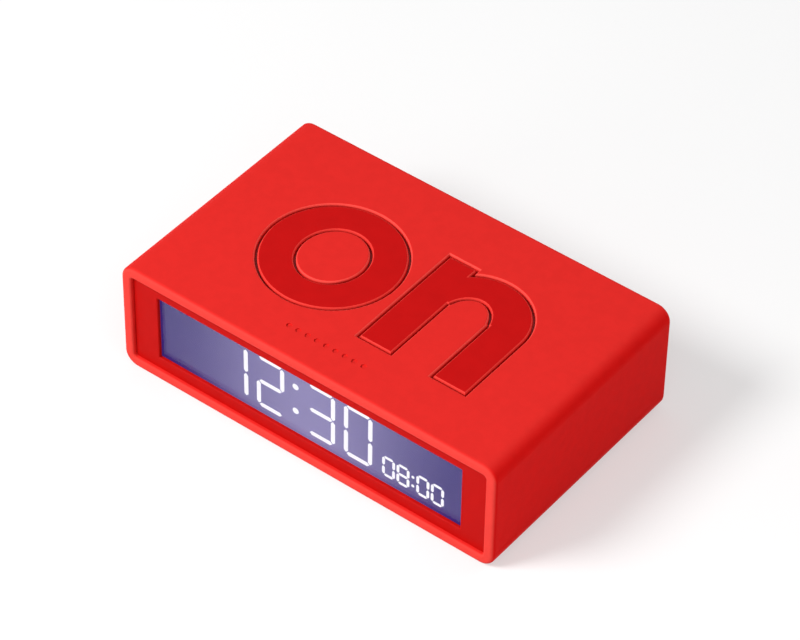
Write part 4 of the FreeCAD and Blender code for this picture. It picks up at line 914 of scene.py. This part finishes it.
@dataclass
class Case(SubAssembly):
    """The soft skin with its two words, over the two chassis halves."""

    finishes: ClassVar[dict[str, Finish]] = {
        "soft_skin": SOFT_RED,
        "on_o_centre": SOFT_RED,
        "off_o_centre": SOFT_RED,
        "on_letter_o": LETTER_RED,
        "on_letter_n": LETTER_RED,
        "off_letter_o": LETTER_RED,
        "off_first_f": LETTER_RED,
        "off_second_f": LETTER_RED,
        "chassis_lower": CHASSIS_RED,
        "chassis_upper": CHASSIS_RED,
        "chassis_screws": SCREW_STEEL,
    }


@dataclass
class Display(SubAssembly):
    """The bezel, the lens and the lit display behind them."""

    finishes: ClassVar[dict[str, Finish]] = {
        "front_bezel": PANEL_RED,
        "display_lens": CLEAR_ACRYLIC,
        "lcd_cell": LCD_VIOLET,
        "lcd_segments": SEGMENT_WHITE,
        "light_guide": GUIDE_CLEAR,
        "backlight_lamps": LAMP_WHITE,
        "reflector_sheet": SHEET_WHITE,
        "connector_strips": STRIP_RUBBER,
        "display_holder": HOLDER_WHITE,
    }


@dataclass
class Electronics(SubAssembly):
    """The main board and what it carries, the touch electrodes, the buzzer and the leads."""

    drop_rings: int = 14
    drop_round: int = 64
    drop_ripple: float = 0.05
    joint_radius: float = 1.1 * MM
    joint_height: float = 0.9 * MM
    joint_steps: int = 9
    joint_round: int = 24
    lead_radius: float = 0.55 * MM
    foot_within: float = 0.05 * MM
    pair_width: float = 3 * MM
    finishes: ClassVar[dict[str, Finish]] = {
        "main_board": BOARD_GREEN,
        "board_screws": SCREW_STEEL,
        "controller_blob": RESIN_BLACK,
        "crystal_can": CAN_METAL,
        "capacitors": CAN_METAL,
        "tilt_can": CAN_METAL,
        "tilt_plug": RESIN_BLACK,
        "tilt_ball": BALL_STEEL,
        "touch_pad_upper": COPPER_FOIL,
        "touch_pad_lower": COPPER_FOIL,
        "touch_leaves": SPRING_METAL,
        "buzzer_ring": RESIN_BLACK,
        "buzzer_plate": BRASS_PLATE,
        "piezo_disc": CERAMIC_WHITE,
        "red_lead": LEAD_RED,
        "black_lead": LEAD_BLACK,
        "buzzer_leads": LEAD_BLACK,
        "button_ribbon": RIBBON_GREY,
    }

    def resin_drop(self) -> bpy.types.Object:
        """The poured resin over the controller.

        At a share s of the way out, the height is (1 - s^4)^(1/2) times the full height, and the outline's
        radius ripples by a few percent with three and five waves round.

        Returns:
            The drop.
        """
        low, high = (np.array(corner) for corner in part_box("controller_blob"))
        middle, radius, height = (low + high) / 2, (high[0] - low[0]) / 2, high[1] - low[1]
        share = np.sin(np.linspace(0, math.pi / 2, self.drop_rings))[:, None]
        turn = np.linspace(0, math.tau, self.drop_round, endpoint=False)[None, :]
        ripple = 1 - self.drop_ripple * (1 + 0.6 * np.sin(3 * turn) + 0.4 * np.sin(5 * turn + 1)) / 2
        reach = radius * share * ripple
        rise = height * np.sqrt(1 - share**4) * np.ones_like(turn)
        x, z = middle[0] + reach * np.cos(turn), middle[2] + reach * np.sin(turn)
        dome = np.stack((x, low[1] + rise, z), axis=-1)
        floor = dome[-1:] * np.array((1, 0, 1)) + np.array((0, low[1], 0))
        centre = np.broadcast_to(np.array((middle[0], low[1], middle[2])), floor.shape)
        return surface("resin_drop", np.concatenate((dome, floor, centre)))

    def solder_joints(self) -> bpy.types.Object:
        """Solder where the leads meet the main board.

        The profile is a cone with a hollow flank: at a share s of its height the radius is the lead's radius
        plus (1 - s)^2.5 of what the foot is wider.

        Returns:
            The joints as one piece.
        """
        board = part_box("main_board")[1][1]
        places = []
        for name in ("red_lead", "black_lead", "buzzer_leads"):
            low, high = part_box(name)
            feet = np.array([vertex.co for vertex in self.nodes[name].data.vertices])
            feet = feet[feet[:, 1] < board + self.foot_within]
            left = feet[:, 0] < feet[:, 0].mean()
            halves = (feet,) if high[0] - low[0] < self.pair_width else (feet[left], feet[~left])
            places.extend((half.min(0) + half.max(0)) / 2 for half in halves)
        share = np.linspace(0, 1, self.joint_steps)
        radius = self.lead_radius + (self.joint_radius - self.lead_radius) * (1 - share) ** 2.5
        flank = np.stack((share * self.joint_height, radius), axis=1)
        profile = np.vstack(((0.0, 0.0), flank, (self.joint_height, 0.0)))
        cones = []
        for count, place in enumerate(places):
            base = np.array((place[0], board, place[2]))
            cones.append(surface(f"joint_{count}", revolved(profile, base, Axis.Y, self.joint_round)))
        return merged("solder_joints", cones)

    def build(self) -> list[bpy.types.Object]:
        """Pours the resin drop and solders the leads."""
        return [
            self.settled(self.resin_drop(), RESIN_BLACK, "controller_blob"),
            self.settled(self.solder_joints(), CAN_METAL),
        ]


@dataclass
class BatteryBay(SubAssembly):
    """The tray with its two cells, their contacts and springs."""

    sleeve_lip: float = 0.9 * MM
    sleeve_thick: float = 0.12 * MM
    edge_round: float = 0.45 * MM
    nub_radius: float = 1.9 * MM
    nub_length: float = 1.2 * MM
    cap_sink: float = 0.25 * MM
    ring_shares: tuple[float, float, float] = (0.62, 0.55, 0.48)
    ring_depth: float = 0.2 * MM
    can_round: float = 0.22 * MM
    cell_round: int = 64
    spring_turns: int = 4
    spring_points: int = 160
    spring_wide: float = 3.6 * MM
    spring_narrow: float = 2.2 * MM
    spring_wire: float = 0.3 * MM
    finishes: ClassVar[dict[str, Finish]] = {
        "battery_tray": TRAY_BLACK,
        "lower_cell": CELL_WRAP,
        "upper_cell": CELL_WRAP,
        "bridge_contact": SPRING_METAL,
        "plus_contact": SPRING_METAL,
        "minus_contact": SPRING_METAL,
        "lower_spring": SPRING_METAL,
        "upper_spring": SPRING_METAL,
    }

    def sleeve_profile(self, radius: float, length: float) -> np.ndarray:
        """The closed outline of the sleeve's wall, which starts at the lip at the plus end.

        It runs over the edge, along the cell and over the other edge to a lip, and back inside.

        Args:
            radius: The cell's radius.
            length: The cell's length with its nub.

        Returns:
            Its points, as (distance from the nub's tip, radius).
        """
        lip, thick, near = radius - self.sleeve_lip, self.sleeve_thick, self.nub_length
        outer = np.array(((near, lip), (near, radius), (length, radius), (length, lip)))
        near, far, bore = near + thick, length - thick, radius - thick
        inner = np.array(((far, lip), (far, bore), (near, bore), (near, lip)))
        return np.vstack((rounded(outer, self.edge_round), rounded(inner, self.edge_round - thick)))

    def can_profile(self, radius: float, length: float) -> np.ndarray:
        """The outline of the steel can, from the nub's tip to a base with a ring pressed in.

        Args:
            radius: The cell's radius.
            length: The cell's length with its nub.

        Returns:
            Its points, as (distance from the nub's tip, radius).
        """
        seat, foot = self.nub_length + self.cap_sink, length - self.cap_sink
        within = radius - 1.5 * self.sleeve_thick
        cap = ((0.0, 0.0), (0.0, self.nub_radius), (seat, self.nub_radius), (seat, within), (foot, within))
        outside, deepest, inside = (share * radius for share in self.ring_shares)
        base = ((foot, outside), (foot - self.ring_depth, deepest), (foot, inside), (foot, 0.0))
        return rounded(np.array(cap + base), self.can_round)

    def cell(self, node: str, towards: int) -> list[bpy.types.Object]:
        """A cell's printed sleeve and its steel can, as surfaces of revolution about X.

        Args:
            node: The CAD node that the cell stands for.
            towards: 1 if the nub points along X, or -1 if it points against it.

        Returns:
            The sleeve and the can.
        """
        low, high = (np.array(corner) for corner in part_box(node))
        radius, length = (high[2] - low[2]) / 2, high[0] - low[0]
        tip = high[0] if towards > 0 else low[0]
        base = np.array((tip, (low[1] + high[1]) / 2, (low[2] + high[2]) / 2))
        flip = np.array((-towards, 1.0))
        sleeve = revolved(self.sleeve_profile(radius, length) * flip, base, Axis.X, self.cell_round)
        can = revolved(self.can_profile(radius, length) * flip, base, Axis.X, self.cell_round)
        return [surface(node + "_sleeve", sleeve, True), surface(node + "_can", can)]

    def spring(self, node: str, towards: int) -> bpy.types.Object:
        """A conical spring, a round wire carried along a tapering helix about X.

        After a share t of its length, the helix has made t * turns turns, its radius has gone the share t of
        the way from wide to narrow, and it has risen by t - sin(2 pi t) / (2 pi) of its height, so that it
        lies flat at both ends.

        Args:
            node: The CAD node that the spring stands for.
            towards: 1 if the narrow end points along X, or -1 if it points against it.

        Returns:
            The spring.
        """
        low, high = (np.array(corner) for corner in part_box(node))
        t = np.linspace(0, 1, self.spring_points)
        turn = math.tau * self.spring_turns * t
        radius = self.spring_wide + (self.spring_narrow - self.spring_wide) * t
        rise = t - np.sin(math.tau * t) / math.tau
        span = high[0] - low[0] - 2 * self.spring_wire
        start = low[0] + self.spring_wire if towards > 0 else high[0] - self.spring_wire
        middle = (low + high) / 2
        y, z = middle[1] + radius * np.cos(turn), middle[2] + radius * np.sin(turn)
        path = np.stack((start + towards * span * rise, y, z), axis=1)
        return surface(node + "_wire", bead(path, 2 * self.spring_wire, self.spring_wire, Axis.X.vector()))

    def build(self) -> list[bpy.types.Object]:
        """Makes both cells and both springs."""
        made = []
        for node, towards in (("lower_cell", 1), ("upper_cell", -1)):
            sleeve, can = self.cell(node, towards)
            made.append(self.settled(sleeve, CELL_WRAP, node))
            made.append(self.settled(can, CAN_METAL))
        for node, towards in (("lower_spring", 1), ("upper_spring", -1)):
            made.append(self.settled(self.spring(node, towards), SPRING_METAL, node))
        return made


@dataclass
class Back(SubAssembly):
    """The rear panel with its battery door, its four buttons and the marks over them."""

    mark_size: float = 1.6 * MM
    mark_stroke: float = 0.42 * MM
    mark_height: float = 0.2 * MM
    mark_rise: float = 5.7 * MM
    arrow_size: float = 1.5 * MM
    arrow_from_edge: float = 13.0 * MM
    finishes: ClassVar[dict[str, Finish]] = {
        "rear_panel": PANEL_RED,
        "battery_door": PANEL_RED,
        "alarm_button": BUTTON_RED,
        "time_button": BUTTON_RED,
        "minus_button": BUTTON_RED,
        "plus_button": BUTTON_RED,
        "alarm_plunger": RESIN_BLACK,
        "time_plunger": RESIN_BLACK,
        "minus_plunger": RESIN_BLACK,
        "plus_plunger": RESIN_BLACK,
        "push_switches": SWITCH_METAL,
        "button_board": BOARD_GREEN,
        "button_board_screws": SCREW_STEEL,
    }

    def strokes(self, button: str) -> list[tuple[np.ndarray, bool]]:
        """The lines of a button's mark, in units of its size, with whether each closes on itself.

        The bell's half width at a height t is 0.62 * sqrt(1 - t^4) + 0.4 * (1 - t)^6, and its clapper is an
        arc below it. The clock is a circle with two hands, and minus and plus are bars.

        Args:
            button: The button's name.

        Returns:
            Each line as points (x, z), and whether it is closed.
        """
        bar = np.array(((-0.8, 0.0), (0.8, 0.0)))
        if button == "minus":
            return [(bar, False)]
        if button == "plus":
            return [(bar, False), (bar[:, ::-1], False)]
        turn = np.linspace(0, math.tau, 48, endpoint=False)
        if button == "time":
            circle = np.stack((np.cos(turn), np.sin(turn)), axis=1)
            hands = np.array(((0.0, 0.6), (0.0, 0.0), (-0.45, 0.0)))
            return [(circle, True), (hands, False)]
        t = np.linspace(0, 1, 24)
        half = 0.62 * np.sqrt(1 - t**4) + 0.4 * (1 - t) ** 6
        side = np.stack((half, 1.6 * t - 0.7), axis=1)
        outline = np.vstack((side, side[-2::-1] * np.array((-1, 1))))
        low_turn = np.linspace(-0.8 * math.pi, -0.2 * math.pi, 9)
        clapper = np.stack((0.3 * np.cos(low_turn), 0.18 * np.sin(low_turn) - 0.82), axis=1)
        return [(outline, True), (clapper, False)]

    def mark(self, button: str) -> bpy.types.Object:
        """The raised mark over one button, as rounded beads on the panel's face.

        X is turned round, because the back is read from behind.

        Args:
            button: The button's name.

        Returns:
            The mark.
        """
        low, high = (np.array(corner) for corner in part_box(button + "_button"))
        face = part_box("rear_panel")[1][1]
        middle = np.array(((low[0] + high[0]) / 2, face, (low[2] + high[2]) / 2 + self.mark_rise))
        beads = []
        for count, (line, loop) in enumerate(self.strokes(button)):
            flat = line * self.mark_size * np.array((-1, 1))
            path = middle + np.stack((flat[:, 0], np.zeros(len(flat)), flat[:, 1]), axis=1)
            grid = bead(path, self.mark_stroke, self.mark_height, Axis.Y.vector(), loop)
            beads.append(surface(f"{button}_line_{count}", grid, loop))
        return merged(button + "_mark", beads)

    def door_arrow(self) -> bpy.types.Object:
        """A raised arrowhead on the door, beside its thumb ribs, that points to the edge to lift.

        Returns:
            The arrowhead.
        """
        low, high = (np.array(corner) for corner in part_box("battery_door"))
        middle = np.array((low[0] + self.arrow_from_edge, high[1], (low[2] + high[2]) / 2))
        head = np.array(((0.6, 0.9), (-0.6, 0.0), (0.6, -0.9))) * self.arrow_size
        path = middle + np.stack((head[:, 0], np.zeros(3), head[:, 1]), axis=1)
        return surface("door_arrow", bead(path, self.mark_stroke, self.mark_height, Axis.Y.vector()))

    def build(self) -> list[bpy.types.Object]:
        """Makes the marks over the buttons and the arrow on the door."""
        made = [self.settled(self.mark(name), BUTTON_RED) for name in ("alarm", "time", "minus", "plus")]
        made.append(self.settled(self.door_arrow(), BUTTON_RED, body="battery_door"))
        return made


@dataclass(frozen=True)
class Lamp:
    """A round soft light that shines at the clock."""

    name: str
    direction: tuple[float, float, float]
    distance: float
    size: float
    level: float

    def build(self) -> None:
        """Puts the lamp in its place.

        A disk of power P at a distance d gives a facing surface P / (pi * d^2), and full white takes pi.
        """
        light = bpy.data.lights.new(self.name, "AREA")
        light.shape, light.size = "DISK", self.size
        light.energy = self.level * math.pi * math.pi * self.distance**2
        lamp = linked(self.name, light)
        way = Vector(self.direction).normalized()
        lamp.location = way * self.distance
        lamp.rotation_euler = way.to_track_quat("Z", "Y").to_euler()


@dataclass
class Studio:
    """The floor, the white surroundings, the lamps and the camera."""

    target: tuple[float, float, float] = (-0.444 * MM, 2.653 * MM, 17.495 * MM)
    azimuth: float = 37.224
    elevation: float = 43.378
    roll: float = 1.024
    distance: float = 849.265 * MM
    lens: float = 170.0
    sensor: float = 36.0
    near: float = 0.05
    far: float = 20.0
    surround: float = 0.33
    floor_colour: float = 0.565
    floor_glow: float = 0.43
    floor_half: float = 3.0
    floor_drop: float = 0.02 * MM
    floor_steps: int = 9
    floor_cloud: float = 50 * MM
    floor_tint: float = 0.005
    lamps: tuple[Lamp, ...] = (
        Lamp("key", (-0.40, -0.58, 0.72), distance=0.92, size=0.36, level=0.84),
        Lamp("fill", (0.75, -0.60, 0.45), distance=0.4, size=0.4, level=0.235),
        Lamp("low", (-0.35, -0.93, 0.2), distance=0.8, size=0.4, level=0.16),
        Lamp("rear", (0.35, 0.9, 0.18), distance=0.9, size=0.6, level=0.36),
    )

    def camera(self) -> None:
        """A long lens at the photograph's angle.

        From its target, the camera stands in the direction (cos e * sin a, -cos e * cos a, sin e). Its right
        and up directions are then turned round that line by the roll.
        """
        a, e, roll = (math.radians(angle) for angle in (self.azimuth, self.elevation, self.roll))
        back = Vector((math.cos(e) * math.sin(a), -math.cos(e) * math.cos(a), math.sin(e)))
        level = Vector((math.cos(a), math.sin(a), 0))
        upright = back.cross(level)
        right = level * math.cos(roll) + upright * math.sin(roll)
        data = bpy.data.cameras.new("camera")
        data.lens, data.sensor_width = self.lens, self.sensor
        data.clip_start, data.clip_end = self.near, self.far
        camera = linked("camera", data)
        turned = Matrix((right, back.cross(right), back)).transposed().to_4x4()
        camera.matrix_world = Matrix.Translation(Vector(self.target) + back * self.distance) @ turned
        bpy.context.scene.camera = camera

    def unlit(self, tree: bpy.types.NodeTree) -> bpy.types.NodeSocket:
        """A share that is 1 for the camera's rays and for reflected and transmitted ones, and 0 for the rest.

        Args:
            tree: The tree to add the nodes to.

        Returns:
            The share.
        """
        path = tree.nodes.new("ShaderNodeLightPath")
        share = path.outputs["Is Camera Ray"]
        for name in ("Is Glossy Ray", "Is Transmission Ray"):
            larger = tree.nodes.new("ShaderNodeMath")
            larger.operation = "MAXIMUM"
            tree.links.new(share, larger.inputs[0])
            tree.links.new(path.outputs[name], larger.inputs[1])
            share = larger.outputs[0]
        return share

    def world(self) -> None:
        """White surroundings that look fully white and light the clock at the level of surround."""
        world = bpy.data.worlds.new("surroundings")
        world.use_nodes = True
        tree = world.node_tree
        level = tree.nodes.new("ShaderNodeMapRange")
        level.inputs["To Min"].default_value = self.surround
        level.inputs["To Max"].default_value = 1.0
        tree.links.new(self.unlit(tree), level.inputs["Value"])
        tree.nodes["Background"].inputs["Color"].default_value = (1, 1, 1, 1)
        tree.links.new(level.outputs["Result"], tree.nodes["Background"].inputs["Strength"])
        bpy.context.scene.world = world

    def floor(self) -> bpy.types.Object:
        """A wide pale floor. A little glow, for the eye alone, takes it to white outside the shadow.

        Returns:
            The floor.
        """
        steps = np.linspace(-self.floor_half, self.floor_half, self.floor_steps)
        x, y = np.meshgrid(steps, steps, indexing="ij")
        points = np.stack((x, y, np.full_like(x, -self.floor_drop)), axis=-1)
        index = np.arange(x.size).reshape(x.shape)
        quads = np.stack((index[:-1, :-1], index[1:, :-1], index[1:, 1:], index[:-1, 1:]), axis=-1)
        mesh = bpy.data.meshes.new("floor")
        mesh.from_pydata(points.reshape(-1, 3).tolist(), [], quads.reshape(-1, 4).tolist())
        tree = Tree("paper")
        colour = (self.floor_colour,) * 3 + (1.0,)
        cloud = tree.span(tree.noise(self.floor_cloud, 3.0), 0.0, 1.0)
        paper = tree.blend(cloud, dimmed(colour, 1 - self.floor_tint), colour)
        diffuse = tree.put("BsdfDiffuse", {"Color": paper})
        strength = tree.calc("MULTIPLY", self.unlit(tree.material.node_tree), self.floor_glow)
        glow = tree.put("Emission", {"Strength": strength})
        both = tree.put("AddShader", {0: diffuse.outputs[0], 1: glow.outputs[0]})
        tree.feed(tree.nodes["Material Output"].inputs["Surface"], both.outputs[0])
        mesh.materials.append(tree.material)
        return linked("floor", mesh)

    def build(self) -> None:
        """Sets up the whole studio."""
        bpy.context.scene.view_settings.view_transform = "Standard"
        self.camera()
        self.world()
        self.floor()
        for lamp in self.lamps:
            lamp.build()


def main() -> None:
    """Builds the studio and the clock, group by group, and reports each piece."""
    logging.basicConfig(level=logging.INFO, format="%(message)s")
    for left_over in list(bpy.data.objects):
        bpy.data.objects.remove(left_over)
    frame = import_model()
    Studio().build()
    for kind in (Case, Display, Electronics, BatteryBay, Back):
        group = kind(frame["nodes"])
        group.dress()
        LOG.info("%s: %d finished nodes", kind.__name__, len(group.finishes))
        for piece in group.build():
            LOG.info("%s: %s with %d faces", kind.__name__, piece.name, len(piece.data.polygons))


if __name__ == "__main__":
    main()
